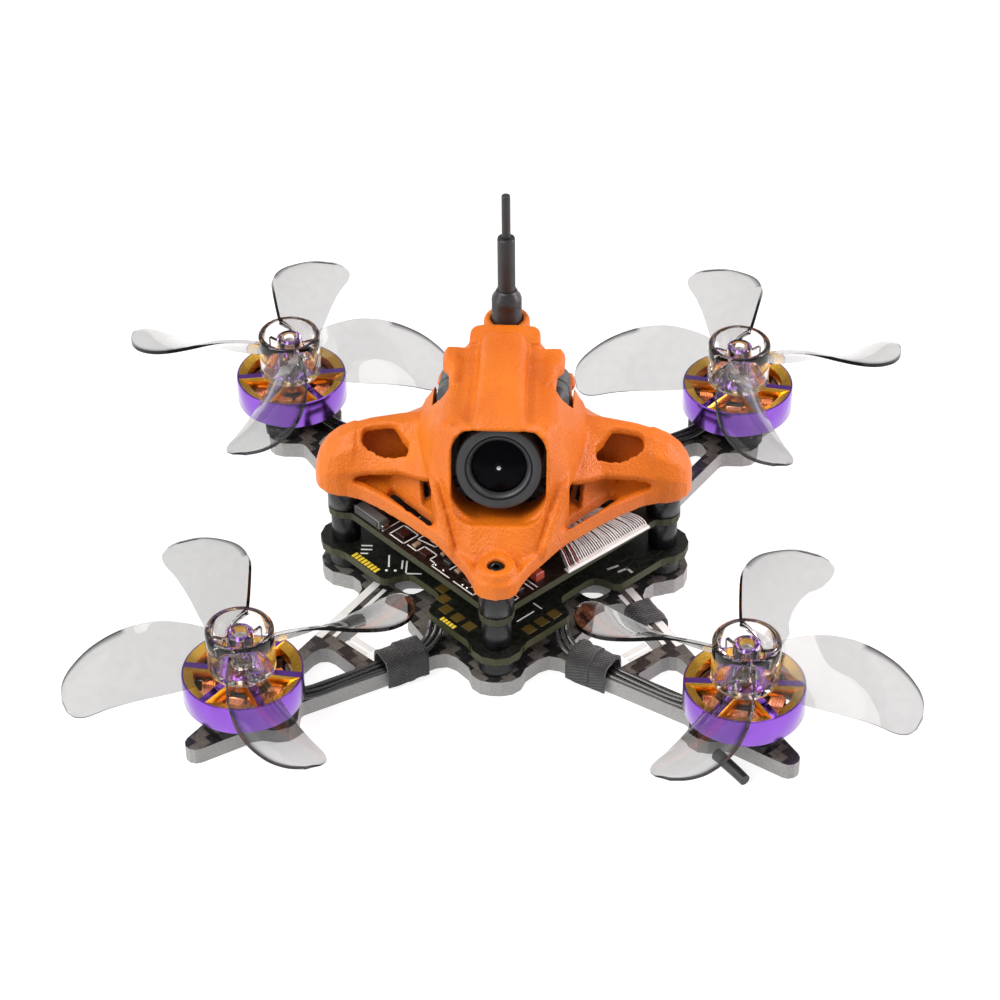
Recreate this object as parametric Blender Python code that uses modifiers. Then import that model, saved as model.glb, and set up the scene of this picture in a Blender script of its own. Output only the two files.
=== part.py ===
"""Micro racing drone: carbon plate, four motors with clear propellers, two boards, canopy, camera.

Lengths in this file are millimetres; every shape is scaled by MM when its mesh is made.
The frame stands on Z = 0, its centre is the origin and the drone's front points to -Y.
"""

import math

import bmesh
import bpy
from mathutils import Matrix, Vector

MM = 0.001
GAP = 0.06

# Driving dimensions
MOTOR_OFFSET = 26.9
POST_OFFSET = 18.03
PLATE_TOP = 2.0
LOWER_BOARD = (4.4, 5.4)
LOWER_BOARD_SIDE = 30.0
UPPER_BOARD = (9.2, 10.1)
UPPER_BOARD_SIDE = 27.0
CANOPY_LOW = 13.3
SCREW_HOLE = 1.0
BELL_RADIUS = 6.6
BELL_LOW = 4.9
BELL_TOP = 8.35
HUB_RADIUS = 3.7
HUB_LOW = 8.75
HUB_TOP = 14.25
CAMERA_TILT = math.radians(18)
CAMERA_CENTRE = Vector((0.0, 1.1, 19.7))
CAMERA_SIDE = 14.6
LENS_REACH = 12.0
ANTENNA_Y = 10.5
ANTENNA_LOW = 27.2

POSTS = {
    "front": (0.0, -POST_OFFSET),
    "right": (POST_OFFSET, 0.0),
    "rear": (0.0, POST_OFFSET),
    "left": (-POST_OFFSET, 0.0),
}

# name: sign of X, sign of Y, spin seen from above (1 is counterclockwise), resting angle
MOTORS = {
    "front_left": (-1, -1, -1, 21.0),
    "front_right": (1, -1, 1, -19.0),
    "rear_left": (-1, 1, 1, -4.5),
    "rear_right": (1, 1, -1, 5.75),
}


# ---------------------------------------------------------------- tools


def clear_scene():
    for obj in list(bpy.data.objects):
        bpy.data.objects.remove(obj, do_unlink=True)


def new_collection(name):
    collection = bpy.data.collections.new(name)
    bpy.context.scene.collection.children.link(collection)
    return collection


def make_material(name, colour, roughness, metallic=0.0, alpha=1.0):
    material = bpy.data.materials.new(name)
    material.use_nodes = True
    shader = material.node_tree.nodes["Principled BSDF"]
    shader.inputs["Base Color"].default_value = (*colour, 1.0)
    shader.inputs["Roughness"].default_value = roughness
    shader.inputs["Metallic"].default_value = metallic
    shader.inputs["Alpha"].default_value = alpha
    return material


def add_object(name, mesh, collection, material=None, at=(0, 0, 0), turn=None):
    obj = bpy.data.objects.new(name, mesh)
    collection.objects.link(obj)
    obj.location = Vector(at) * MM
    if turn is not None:
        obj.rotation_euler = turn
    if material is not None:
        obj.data.materials.append(material)
    return obj


def as_cutter(obj):
    obj.hide_render = True
    obj.display_type = "WIRE"
    return obj


def boolean(target, other, operation="DIFFERENCE"):
    modifier = target.modifiers.new(operation.lower(), "BOOLEAN")
    modifier.operation = operation
    modifier.object = other
    modifier.solver = "EXACT"
    return target


def bevel(obj, width, segments=1, angle=40):
    modifier = obj.modifiers.new("bevel", "BEVEL")
    modifier.width = width * MM
    modifier.segments = segments
    modifier.limit_method = "ANGLE"
    modifier.angle_limit = math.radians(angle)
    return obj


def smooth(obj, angle=35):
    obj.data.shade_smooth()
    obj.data.set_sharp_from_angle(angle=math.radians(angle))
    return obj


def rounded(corners, step=32):
    """Closed polygon of (x, y, radius) corners with each corner turned into an arc."""
    points = []
    count = len(corners)
    for i, (x, y, radius) in enumerate(corners):
        here = Vector((x, y))
        before = (Vector(corners[i - 1][:2]) - here).normalized()
        after = (Vector(corners[(i + 1) % count][:2]) - here).normalized()
        half = before.angle(after) / 2
        if radius <= 0 or half > math.radians(88):
            points.append(here)
            continue
        reach = radius / math.tan(half)
        centre = here + (before + after).normalized() * (radius / math.sin(half))
        start = here + before * reach - centre
        end = here + after * reach - centre
        turn = start.angle_signed(end)
        parts = max(1, round(abs(math.degrees(turn)) / step))
        for k in range(parts + 1):
            a = -turn * k / parts
            c, s = math.cos(a), math.sin(a)
            points.append(centre + Vector((c * start.x - s * start.y, s * start.x + c * start.y)))
    return points


def circle(x, y, radius, parts=16, phase=0.0):
    return [
        Vector((
            x + radius * math.cos(phase + math.tau * k / parts),
            y + radius * math.sin(phase + math.tau * k / parts),
        ))
        for k in range(parts)
    ]


def flat_mesh(name, loops, low, high):
    """Closed solid between two heights from flat outlines; inner outlines are holes."""
    curve = bpy.data.curves.new(name, "CURVE")
    curve.dimensions = "2D"
    curve.fill_mode = "BOTH"
    curve.extrude = (high - low) / 2 * MM
    for loop in loops:
        spline = curve.splines.new("POLY")
        spline.points.add(len(loop) - 1)
        for point, (x, y) in zip(spline.points, loop):
            point.co = (x * MM, y * MM, 0, 1)
        spline.use_cyclic_u = True
    guide = bpy.data.objects.new(name, curve)
    bpy.context.scene.collection.objects.link(guide)
    graph = bpy.context.evaluated_depsgraph_get()
    mesh = bpy.data.meshes.new_from_object(guide.evaluated_get(graph))
    bpy.data.objects.remove(guide, do_unlink=True)
    bpy.data.curves.remove(curve)
    shape = bmesh.new()
    shape.from_mesh(mesh)
    bmesh.ops.remove_doubles(shape, verts=shape.verts, dist=1e-6)
    bmesh.ops.translate(shape, verts=shape.verts, vec=(0, 0, (low + high) / 2 * MM))
    shape.to_mesh(mesh)
    shape.free()
    return mesh


def turned_mesh(name, profile):
    """Open or closed profile of (radius, z) points, to be spun by spin()."""
    mesh = bpy.data.meshes.new(name)
    points = [(r * MM, 0, z * MM) for r, z in profile]
    touches_axis = profile[0][0] == 0 and profile[-1][0] == 0
    count = len(points)
    edges = [(i, i + 1) for i in range(count - 1)]
    if not touches_axis:
        edges.append((count - 1, 0))
    mesh.from_pydata(points, edges, [])
    return mesh


def spin(obj, steps):
    modifier = obj.modifiers.new("screw", "SCREW")
    modifier.axis = "Z"
    modifier.steps = steps
    modifier.render_steps = steps
    modifier.use_merge_vertices = True
    modifier.merge_threshold = 0.00001
    modifier.use_smooth_shade = True
    return obj


def box_mesh(name, size):
    mesh = bpy.data.meshes.new(name)
    shape = bmesh.new()
    bmesh.ops.create_cube(shape, size=1.0)
    bmesh.ops.scale(shape, verts=shape.verts, vec=Vector(size) * MM)
    shape.to_mesh(mesh)
    shape.free()
    return mesh


def cone_mesh(name, radius_low, radius_high, length, parts=16):
    mesh = bpy.data.meshes.new(name)
    shape = bmesh.new()
    bmesh.ops.create_cone(
        shape,
        cap_ends=True,
        segments=parts,
        radius1=radius_low * MM,
        radius2=radius_high * MM,
        depth=length * MM,
    )
    shape.to_mesh(mesh)
    shape.free()
    return mesh


def loft_mesh(name, sections):
    """Closed solid through rings of equal point count, capped at both ends."""
    mesh = bpy.data.meshes.new(name)
    shape = bmesh.new()
    rings = [[shape.verts.new(Vector(p) * MM) for p in ring] for ring in sections]
    count = len(rings[0])
    for ring, following in zip(rings, rings[1:]):
        for k in range(count):
            n = (k + 1) % count
            shape.faces.new((ring[k], ring[n], following[n], following[k]))
    shape.faces.new(list(reversed(rings[0])))
    shape.faces.new(rings[-1])
    bmesh.ops.recalc_face_normals(shape, faces=shape.faces)
    bmesh.ops.triangulate(shape, faces=shape.faces)
    shape.to_mesh(mesh)
    shape.free()
    return mesh


def tube_mesh(name, route, radius, side=0.0, resolution=2, tilt=0.0):
    """Filled tube along a route; side widens it into a flat ribbon."""
    curve = bpy.data.curves.new(name, "CURVE")
    curve.dimensions = "3D"
    curve.fill_mode = "FULL"
    curve.twist_mode = "Z_UP"
    curve.bevel_depth = radius * MM
    curve.bevel_resolution = resolution
    curve.extrude = side * MM
    curve.use_fill_caps = True
    spline = curve.splines.new("POLY")
    spline.points.add(len(route) - 1)
    for point, place in zip(spline.points, route):
        point.co = (*(Vector(place) * MM), 1)
        point.tilt = tilt
    guide = bpy.data.objects.new(name, curve)
    bpy.context.scene.collection.objects.link(guide)
    graph = bpy.context.evaluated_depsgraph_get()
    mesh = bpy.data.meshes.new_from_object(guide.evaluated_get(graph))
    bpy.data.objects.remove(guide, do_unlink=True)
    bpy.data.curves.remove(curve)
    shape = bmesh.new()
    shape.from_mesh(mesh)
    bmesh.ops.remove_doubles(shape, verts=shape.verts, dist=1e-6)
    bmesh.ops.recalc_face_normals(shape, faces=shape.faces)
    shape.to_mesh(mesh)
    shape.free()
    return mesh


def curve_through(points, parts=4):
    """Points on a smooth curve through the given points (Catmull-Rom)."""
    places = [Vector(p) for p in points]
    places = [2 * places[0] - places[1]] + places + [2 * places[-1] - places[-2]]
    route = []
    for a, b, c, d in zip(places, places[1:], places[2:], places[3:]):
        for k in range(parts):
            t = k / parts
            route.append(
                0.5 * (2 * b + (c - a) * t + (2 * a - 5 * b + 4 * c - d) * t * t
                       + (3 * b - a - 3 * c + d) * t * t * t)
            )
    route.append(places[-2])
    return route


def four_ways(quadrant):
    """Outline of four mirrored quadrants from corners of one, front post to side post."""
    front_right = [(u, -v, r) for u, v, r in quadrant]
    rear_right = [(u, v, r) for u, v, r in reversed(quadrant)]
    rear_left = [(-u, v, r) for u, v, r in quadrant]
    front_left = [(-u, -v, r) for u, v, r in reversed(quadrant)]
    return front_right + rear_right + rear_left + front_left


def mirrored_holes(corners):
    return [
        rounded([(sx * u, sy * v, r) for u, v, r in corners], step=30)
        for sx in (-1, 1)
        for sy in (-1, 1)
    ]


# ---------------------------------------------------------------- frame and stack


PLATE_QUADRANT = [
    (2.9, 21.0, 2.5), (3.1, 18.6, 0.0), (5.56, 15.9, 1.8), (21.15, 25.1, 0.8),
    (21.15, 29.85, 1.8), (25.4, 29.1, 1.0), (35.74, 35.74, 1.2), (29.1, 25.4, 1.0),
    (29.85, 21.15, 1.8), (25.1, 21.15, 1.0), (14.05, 3.15, 2.5), (21.0, 3.0, 2.95),
]
STRUT_HOLE = [
    (18.06, 14.14, 0.4), (13.5, 18.07, 0.4), (7.77, 14.7, 0.5),
    (10.5, 10.3, 0.8), (10.3, 8.0, 0.8), (13.7, 7.0, 0.5),
]
SIDE_HOLE = [
    (12.4, 5.0, 0.4), (10.3, 6.7, 1.2), (8.2, 4.9, 0.5), (9.0, 3.0, 0.8), (11.3, 3.0, 0.8),
]
ARM_HOLE = [(19.5, 15.1, 1.5), (15.4, 19.2, 0.4), (22.5, 23.4, 0.8), (23.4, 21.3, 0.6)]


def make_frame(collection, material):
    outline = rounded(four_ways(PLATE_QUADRANT))
    holes = mirrored_holes(STRUT_HOLE) + mirrored_holes(SIDE_HOLE) + mirrored_holes(ARM_HOLE)
    holes += [circle(x, y, SCREW_HOLE, 12) for x, y in POSTS.values()]
    mesh = flat_mesh("frame_plate", [outline] + holes, 0.0, PLATE_TOP)
    return add_object("frame_plate", mesh, collection, material)


def board_outline(side, lobe, notch=None):
    """Square turned 45 degrees whose corners are lobes round the posts; notch is (width, depth)."""
    edge = side / math.sqrt(2)
    offset = lobe * math.sqrt(2) - (edge - POST_OFFSET)
    points = []
    for k in range(4):
        turn = Matrix.Rotation(math.tau * k / 4, 2)
        local = [(lobe, -POST_OFFSET - lobe, lobe * 0.98)]
        if offset > 0.3:
            local.append((lobe, -edge + lobe, lobe * 0.3))
        if notch is not None:
            middle = Vector((edge / 2, -edge / 2))
            along = Vector((1, 1)).normalized()
            inward = Vector((-1, 1)).normalized()
            width, depth = notch
            for shift, sink, radius in (
                (-width / 2 - 1, 0, 0.8), (-width / 2, depth, 1.2),
                (width / 2, depth, 1.2), (width / 2 + 1, 0, 0.8),
            ):
                place = middle + along * shift + inward * sink
                local.append((place.x, place.y, radius))
        if offset > 0.3:
            local.append((edge - lobe, -lobe, lobe * 0.3))
        local.append((POST_OFFSET + lobe, -lobe, lobe * 0.98))
        for x, y, radius in local:
            place = turn @ Vector((x, y))
            points.append((place.x, place.y, radius))
    return rounded(points, step=30)


def make_boards(collection, materials):
    holes = [circle(x, y, SCREW_HOLE, 12) for x, y in POSTS.values()]
    lower = board_outline(LOWER_BOARD_SIDE, 3.0, notch=(5.4, 3.0))
    mesh = flat_mesh("flight_controller", [lower] + holes, *LOWER_BOARD)
    add_object("flight_controller", mesh, collection, materials["board"])
    upper = board_outline(UPPER_BOARD_SIDE, 1.95)
    mesh = flat_mesh("video_board", [upper] + holes, *UPPER_BOARD)
    add_object("video_board", mesh, collection, materials["board"])


def make_spacer(name, at, radius, low, high, collection, material, waist=0.0):
    profile = [
        (SCREW_HOLE, high),
        (radius, high),
        (radius - waist, (low + high) / 2),
        (radius, low),
        (SCREW_HOLE, low),
    ]
    obj = add_object(name, turned_mesh(name, profile), collection, material, at=(*at, 0))
    return spin(obj, 14)


def make_posts(collection, materials):
    rubber = materials["rubber"]
    for name, at in POSTS.items():
        make_spacer(f"lower_damper_{name}", at, 2.1, PLATE_TOP + GAP, LOWER_BOARD[0] - GAP,
                    collection, rubber, waist=0.35)
        make_spacer(f"lower_spacer_{name}", at, 1.65, LOWER_BOARD[1] + GAP, UPPER_BOARD[0] - GAP,
                    collection, rubber)
        make_spacer(f"upper_spacer_{name}", at, 1.95, UPPER_BOARD[1] + GAP, CANOPY_LOW - GAP,
                    collection, rubber)
        profile = [
            (0, 16.2), (0.85, 16.2), (0.85, 15.4), (0.7, 15.4), (0.7, 0.5), (0, 0.5),
        ]
        screw = add_object(f"stack_screw_{name}", turned_mesh(name, profile), collection,
                           materials["steel"], at=(*at, 0))
        spin(screw, 12)


def make_boot_button(collection, materials):
    """Push button on the lower board's top, with its plunger free to travel down."""
    x, y = -8.6, -4.0
    low = LOWER_BOARD[1] + GAP
    body = [
        (0.62, low + 0.9), (1.2, low + 0.9), (1.2, low), (0.62, low),
    ]
    obj = add_object("boot_button_housing", turned_mesh("housing", body), collection,
                     materials["plastic"], at=(x, y, 0))
    spin(obj, 12)
    plunger = [(0, low + 1.3), (0.5, low + 1.3), (0.5, low + 0.35), (0, low + 0.35)]
    obj = add_object("boot_button", turned_mesh("plunger", plunger), collection,
                     materials["white_plastic"], at=(x, y, 0))
    spin(obj, 12)


# ---------------------------------------------------------------- motors and propellers


def foot_outline(reach, valley_reach=2.6, half_lobe=0.35):
    """Three-armed motor foot: one lobe outward along the frame's diagonal, two inward."""
    corners = []
    for k in range(3):
        lobe = math.radians(45 + 120 * k)
        valley = lobe + math.radians(60)
        for angle, distance, radius in (
            (lobe - half_lobe, reach, 1.3), (lobe + half_lobe, reach, 1.3), (valley, valley_reach, 1.0),
        ):
            corners.append((distance * math.cos(angle), distance * math.sin(angle), radius))
    return rounded(corners, step=40)


def make_motor(name, collection, materials):
    sx, sy, spin_way, angle = MOTORS[name]
    at = (sx * MOTOR_OFFSET, sy * MOTOR_OFFSET, 0)
    axis = bpy.data.objects.new(f"axis_{name}", None)
    collection.objects.link(axis)
    axis.location = Vector(at) * MM

    foot_turn = {(-1, -1): 180, (1, -1): -90, (-1, 1): 90, (1, 1): 0}[(sx, sy)]
    foot_mesh = flat_mesh("foot", [foot_outline(5.3), circle(0, 0, 1.4, 12)], PLATE_TOP + GAP, 3.1)
    base = add_object(f"motor_base_{name}", foot_mesh, collection, materials["motor_black"], at=at,
                      turn=(0, 0, math.radians(foot_turn)))
    tube = [(1.05, 7.1), (2.1, 7.1), (2.1, 2.8), (1.05, 2.8)]
    tower = spin(add_object(f"bearing_tube_{name}", turned_mesh("tube", tube),
                            bpy.data.collections["guides"], at=at), 12)
    boolean(base, as_cutter(tower), "UNION")

    ring = [(2.1 + GAP, 7.0), (5.5, 7.0), (5.5, 4.6), (2.1 + GAP, 4.6)]
    spin(add_object(f"stator_{name}", turned_mesh("stator", ring), collection, materials["copper"],
                    at=at), 18)

    profile = [
        (0.75 + GAP, BELL_TOP), (5.9, BELL_TOP), (BELL_RADIUS, BELL_TOP - 0.7),
        (BELL_RADIUS, BELL_LOW), (6.0, BELL_LOW), (6.0, BELL_TOP - 0.9), (0.75 + GAP, BELL_TOP - 0.9),
    ]
    bell = add_object(f"bell_{name}", turned_mesh("bell", profile), collection, materials["purple"])
    bell.parent = axis
    spin(bell, 22)
    windows = []
    for k in range(6):
        middle = math.tau * (k + 0.5) / 6
        half = math.radians(22)
        windows.append([
            Vector((r * math.cos(middle + t * half), r * math.sin(middle + t * half)))
            for r, t in ((2.6, -0.7), (5.6, -1), (5.9, 0), (5.6, 1), (2.6, 0.7))
        ])
    window_mesh = flat_mesh("windows", windows, BELL_TOP - 2, BELL_TOP + 1)
    cutter = add_object(f"windows_{name}", window_mesh, bpy.data.collections["guides"])
    cutter.parent = axis
    boolean(bell, as_cutter(cutter))

    shaft = [(0, HUB_TOP - 1.2), (0.75, HUB_TOP - 1.2), (0.75, 2.9), (0, 2.9)]
    obj = add_object(f"shaft_{name}", turned_mesh("shaft", shaft), collection, materials["steel"])
    obj.parent = axis
    spin(obj, 12)
    make_propeller(name, spin_way, angle, axis, collection, materials["clear"])


BLADE_STATIONS = [
    # radius, chord, pitch, height of the middle, sweep of the middle, all in mm and degrees
    (3.2, 5.2, 50, 11.6, 0.0),
    (5.5, 6.8, 47, 11.8, 1.5),
    (8.5, 7.9, 42, 12.0, 3.0),
    (12.0, 8.2, 31, 11.9, 3.0),
    (15.5, 7.8, 20, 11.5, 0.5),
    (18.3, 6.4, 13, 11.1, -3.5),
    (19.7, 3.6, 11, 10.9, -6.5),
]
BLADE_THICKNESS = 0.55


def blade_section(station, spin_way):
    """Ring of points round a blade's section; the leading edge is the higher one."""
    radius, chord, pitch, height, sweep = station
    rise = math.sin(math.radians(pitch))
    run = math.cos(math.radians(pitch))
    ring = []
    for share, lift in ((-0.5, 0), (-0.2, 0.5), (0.15, 0.5), (0.5, 0), (0.15, -0.5), (-0.2, -0.5)):
        along = share * chord
        across = lift * BLADE_THICKNESS
        forward = along * run - across * rise
        z = height + along * rise + across * run
        angle = math.radians(sweep) + forward / radius
        ring.append((radius * math.cos(angle), spin_way * radius * math.sin(angle), z))
    return ring


def make_propeller(name, spin_way, angle, axis, collection, material):
    profile = [
        (0.75 + GAP, HUB_LOW), (0.75 + GAP, HUB_TOP - 0.5), (1.5, HUB_TOP - 0.5), (1.5, HUB_LOW + 0.9),
        (HUB_RADIUS - 0.7, HUB_LOW + 0.9), (HUB_RADIUS - 0.7, HUB_TOP), (HUB_RADIUS, HUB_TOP),
        (HUB_RADIUS, HUB_LOW),
    ]
    propeller = add_object(f"propeller_{name}", turned_mesh("hub", profile), collection, material)
    propeller.parent = axis
    spin(propeller, 20)
    sections = [blade_section(station, spin_way) for station in BLADE_STATIONS]
    mesh = loft_mesh("blade", sections)
    for k in range(4):
        blade = add_object(f"blade_{name}_{k}", mesh, bpy.data.collections["guides"],
                           turn=(0, 0, math.radians(angle + 90 * k)))
        blade.parent = axis
        boolean(propeller, as_cutter(blade), "UNION")


def make_wires(collection, material):
    for name, (sx, sy, _, _) in MOTORS.items():
        corners = [
            (21.4, 24.3, 2.62), (19.2, 23.2, 2.45), (16.4, 21.45, 2.42), (13.0, 19.3, 2.42),
            (10.6, 17.8, 2.45), (8.3, 16.1, 2.6), (7.2, 14.7, 3.3), (6.9, 13.6, 3.9),
        ]
        route = curve_through([(sx * u, sy * v, z) for u, v, z in corners], parts=2)
        mesh = tube_mesh(f"motor_wires_{name}", route, 0.32, side=0.62, resolution=1,
                         tilt=math.radians(90))
        add_object(f"motor_wires_{name}", mesh, collection, material)


def make_wraps(collection, material):
    """Open-bottomed cloth wraps over the front arms, and the strap over the right strut."""
    stand = Matrix.Rotation(math.radians(90), 4, "Z") @ Matrix.Rotation(math.radians(90), 4, "X")
    lean = math.radians(30.5)
    outer = [
        (-1.85, 0.3, 0.0), (-1.85, 3.3, 0.6), (-1.2, 3.8, 0.5), (1.4, 3.8, 0.6), (1.85, 3.2, 0.5),
        (1.85, 0.3, 0.0), (1.35, 0.3, 0.0), (1.35, 3.2, 0.3), (-1.35, 3.2, 0.3), (-1.35, 0.3, 0.0),
    ]
    for name, sx in (("left", -1), ("right", 1)):
        mesh = flat_mesh("arm_tape", [rounded(outer, step=40)], -2.5, 2.5)
        mesh.transform(stand)
        add_object(f"arm_tape_{name}", mesh, collection, material, at=(sx * 10.6, -17.65, 0),
                   turn=(0, 0, -sx * lean))
    strap = [
        (-1.75, 0.2, 0.0), (-1.75, 2.6, 0.4), (1.75, 2.6, 0.4), (1.75, 0.2, 0.0), (1.35, 0.2, 0.0),
        (1.35, 2.2, 0.2), (-1.35, 2.2, 0.2), (-1.35, 0.2, 0.0),
    ]
    mesh = flat_mesh("strut_strap", [rounded(strap, step=40)], -1.9, 1.9)
    mesh.transform(stand)
    add_object("strut_strap", mesh, collection, material, at=(16.35, -8.9, 0),
               turn=(0, 0, -math.radians(58.6)))


def make_tail(collection, material):
    points = [(24.2, -30.35, 0.8), (25.2, -31.7, 0.85), (26.2, -33.0, 0.85), (27.1, -34.2, 0.8)]
    route = curve_through(points, parts=2)
    mesh = tube_mesh("antenna_tail", route, 0.7)
    add_object("antenna_tail", mesh, collection, material)


# ---------------------------------------------------------------- canopy


WALL = 1.1
RIM_QUADRANT = [
    (2.55, 20.55, 2.4), (2.65, 18.3, 0.0), (3.5, 16.4, 1.5), (7.0, 11.2, 6.0), (10.0, 8.3, 0.0),
    (13.5, 5.3, 6.0), (16.6, 3.15, 3.0), (21.15, 3.15, 3.1),
]
DECK_HOLE = [(6.9, 6.1), (10.7, 1.7)]
SLOT = [(7.3, 10.6, 0.3), (7.2, 8.6, 0.3), (11.9, 2.95, 0.7), (13.2, 4.4, 0.7)]
ROOF_HOLE = [
    (10.4, -3.5, 0.2), (10.4, -2.3, 0.4), (12.2, -0.2, 0.8), (15.6, -0.1, 0.7), (15.7, -1.6, 0.8),
    (13.2, -3.1, 1.5),
]

# height, then half outline from front to rear as (x, y)
TOWER = [
    (14.2, [(0, -17.4), (2.4, -17.0), (4.2, -15.2), (6.7, -11.8), (7.6, -8.2), (8.4, -2.0),
            (8.4, 3.0), (7.2, 8.6), (5.4, 12.6), (2.6, 16.6), (0, 17.2)]),
    (16.3, [(0, -15.9), (2.8, -15.5), (4.3, -14.3), (6.8, -11.0), (7.6, -8.0), (8.7, -2.0),
            (8.6, 3.0), (7.0, 8.3), (4.8, 12.0), (2.4, 15.2), (0, 15.7)]),
    (18.6, [(0, -13.8), (3.2, -13.7), (4.6, -13.2), (6.9, -9.9), (7.8, -7.3), (9.0, -2.0),
            (8.9, 3.0), (7.0, 8.0), (4.4, 11.4), (2.2, 13.6), (0, 14.0)]),
    (21.8, [(0, -12.4), (3.6, -12.2), (5.4, -11.5), (7.6, -8.5), (8.6, -5.5), (9.3, -2.0),
            (9.2, 3.0), (7.2, 7.6), (4.4, 10.2), (2.2, 11.5), (0, 11.8)]),
    (24.8, [(0, -11.3), (3.6, -11.1), (5.6, -10.2), (7.0, -7.6), (7.7, -5.0), (7.9, -1.5),
            (7.6, 2.5), (6.4, 6.4), (4.2, 8.8), (2.2, 9.7), (0, 9.8)]),
    (27.2, [(0, -10.4), (3.4, -10.3), (5.2, -9.2), (6.3, -7.2), (6.3, -4.5), (6.0, -1.5),
            (5.9, 2.5), (5.2, 5.6), (4.0, 7.6), (2.2, 8.4), (0, 8.5)]),
    (28.4, [(0, -9.9), (2.8, -9.7), (4.0, -8.6), (4.4, -7.0), (4.0, -4.5), (3.8, -1.5),
            (3.7, 2.5), (3.6, 5.0), (3.3, 7.2), (2.0, 8.0), (0, 8.0)]),
]

# distance from the centre, rear foot as (y, z), then the arch's front edge, flank and crown
WING = [
    (7.75, (7.95, 17.9), (-7.0, 19.35), (-3.5, 21.4), (-0.55, 22.4)),
    (9.3, (7.05, 17.4), (-6.1, 18.9), (-3.0, 21.05), (-0.5, 22.3)),
    (11.3, (6.2, 14.9), (-4.6, 18.4), (-2.2, 20.6), (-0.5, 22.0)),
    (15.0, (4.1, 14.9), (-3.5, 17.4), (-1.9, 19.8), (-0.4, 21.3)),
    (17.2, (3.6, 14.9), (-3.2, 16.6), (-1.9, 19.2), (-0.4, 20.5)),
]
WING_CREST = 0.8

# distance from the centre, half width, height of the shoulder, top height
NOSE = [
    (16.6, 3.1, 17.2, 20.9),
    (18.4, 3.1, 16.6, 20.0),
    (19.7, 2.75, 16.2, 18.9),
    (20.6, 2.1, 15.6, 17.5),
    (21.1, 1.1, 14.8, 15.9),
]


def mirrored_ring(half):
    """Closed outline from a half one that starts and ends on the middle plane."""
    return list(half) + [(-x, y) for x, y in reversed(half[1:-1])]


def inset(ring, distance):
    """Closed outline moved inward by a distance; the outline runs counterclockwise."""
    moved = []
    count = len(ring)
    for i, (x, y) in enumerate(ring):
        before = (Vector((x, y)) - Vector(ring[i - 1])).normalized()
        after = (Vector(ring[(i + 1) % count]) - Vector((x, y))).normalized()
        normal = Vector((-before.y - after.y, before.x + after.x)).normalized()
        reach = distance / max(0.5, normal.dot(Vector((-before.y, before.x))))
        moved.append((x + normal.x * reach, y + normal.y * reach))
    return moved


def tower_mesh(name, wall):
    """Tower over the camera; with a wall it is the room inside, open at the bottom."""
    sections = []
    for height, half in TOWER:
        ring = inset(mirrored_ring(half), wall)
        if height == TOWER[0][0]:
            height -= wall
        if height == TOWER[-1][0]:
            height -= wall
        sections.append([(x, y, height) for x, y in ring])
    return loft_mesh(name, sections)


def wing_mesh(sx):
    sections = []
    for x, foot, *front in WING:
        rear = [(WING_CREST - y, z) for y, z in reversed(front)]
        outer = front + rear + [foot]
        under = [(y + WALL * share, z - WALL) for (y, z), share in zip(front, (0.4, 0.7, 0.2))]
        far = [(foot[0] - WALL * 0.7, foot[1])] + [(WING_CREST - y, z) for y, z in under]
        inner = far + list(reversed(under))
        sections.append([(sx * x, y, z) for y, z in outer + inner])
    return loft_mesh("wing", sections)


def nose_mesh(sx):
    sections = []
    for x, half, shoulder, top in NOSE:
        crown = WING_CREST / 2
        low = CANOPY_LOW + 0.4
        ring = [
            (-half, low), (-half, shoulder), (-half * 0.72, (shoulder + top) / 2 + 0.35),
            (crown - half * 0.3, top), (crown + half * 0.3, top),
            (half * 0.72 + crown, (shoulder + top) / 2 + 0.35), (half, shoulder), (half, low),
        ]
        sections.append([(sx * x, y, z) for y, z in ring])
    return loft_mesh("nose", sections)


def ridge_mesh(name, drop):
    """Crest over the camera; drop is the wall taken off for the channel inside."""
    stations = [
        (-9.9, 28.3, 2.9), (-9.2, 28.9, 2.8), (-8.2, 29.35, 2.6),
        (-4.0, 29.85, 2.4), (4.6, 30.3, 2.3), (5.5, 30.1, 1.7),
    ]
    sections = []
    for y, top, half in stations:
        shift = 0.0 if drop == 0 else (0.9 if y < -8 else (-0.9 if y > 4 else 0.0))
        t = top - drop
        h = half - drop * 0.8
        low = t - 2.9
        ring = [
            (-h - 1.1, low), (-h - 0.6, t - 1.5), (-h, t - 0.4), (-h + 0.7, t), (h - 0.7, t),
            (h, t - 0.4), (h + 0.6, t - 1.5), (h + 1.1, low),
        ]
        sections.append([(x, y + shift, z) for x, z in ring])
    return loft_mesh(name, sections)


def rib_mesh(sx, sy):
    """Strake down a leg, from beside the camera to the post."""
    low = Vector((sx * 4.75, sy * 14.7, 14.6))
    high = Vector((sx * 7.5, sy * 8.7, 21.7))
    along = (high - low).normalized()
    across = along.cross(Vector((0, sy, 0.6))).normalized()
    out = across.cross(along).normalized()
    if out.y * sy < 0:
        out = -out
    sections = []
    for share, width, lift in ((0.0, 0.4, 0.2), (0.12, 0.55, 0.95), (0.85, 0.6, 1.1), (1.0, 0.4, 0.1)):
        middle = low.lerp(high, share)
        sections.append([
            middle + across * width - out, middle + across * width * 0.7 + out * lift,
            middle - across * width * 0.7 + out * lift, middle - across * width - out,
        ])
    return loft_mesh("rib", sections)


def camera_matrix():
    """Frame of the camera: its -Y axis looks out through the lens, tilted up."""
    return Matrix.Translation(CAMERA_CENTRE * MM) @ Matrix.Rotation(-CAMERA_TILT, 4, "X")


def tilted(mesh):
    mesh.transform(camera_matrix())
    return mesh


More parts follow.
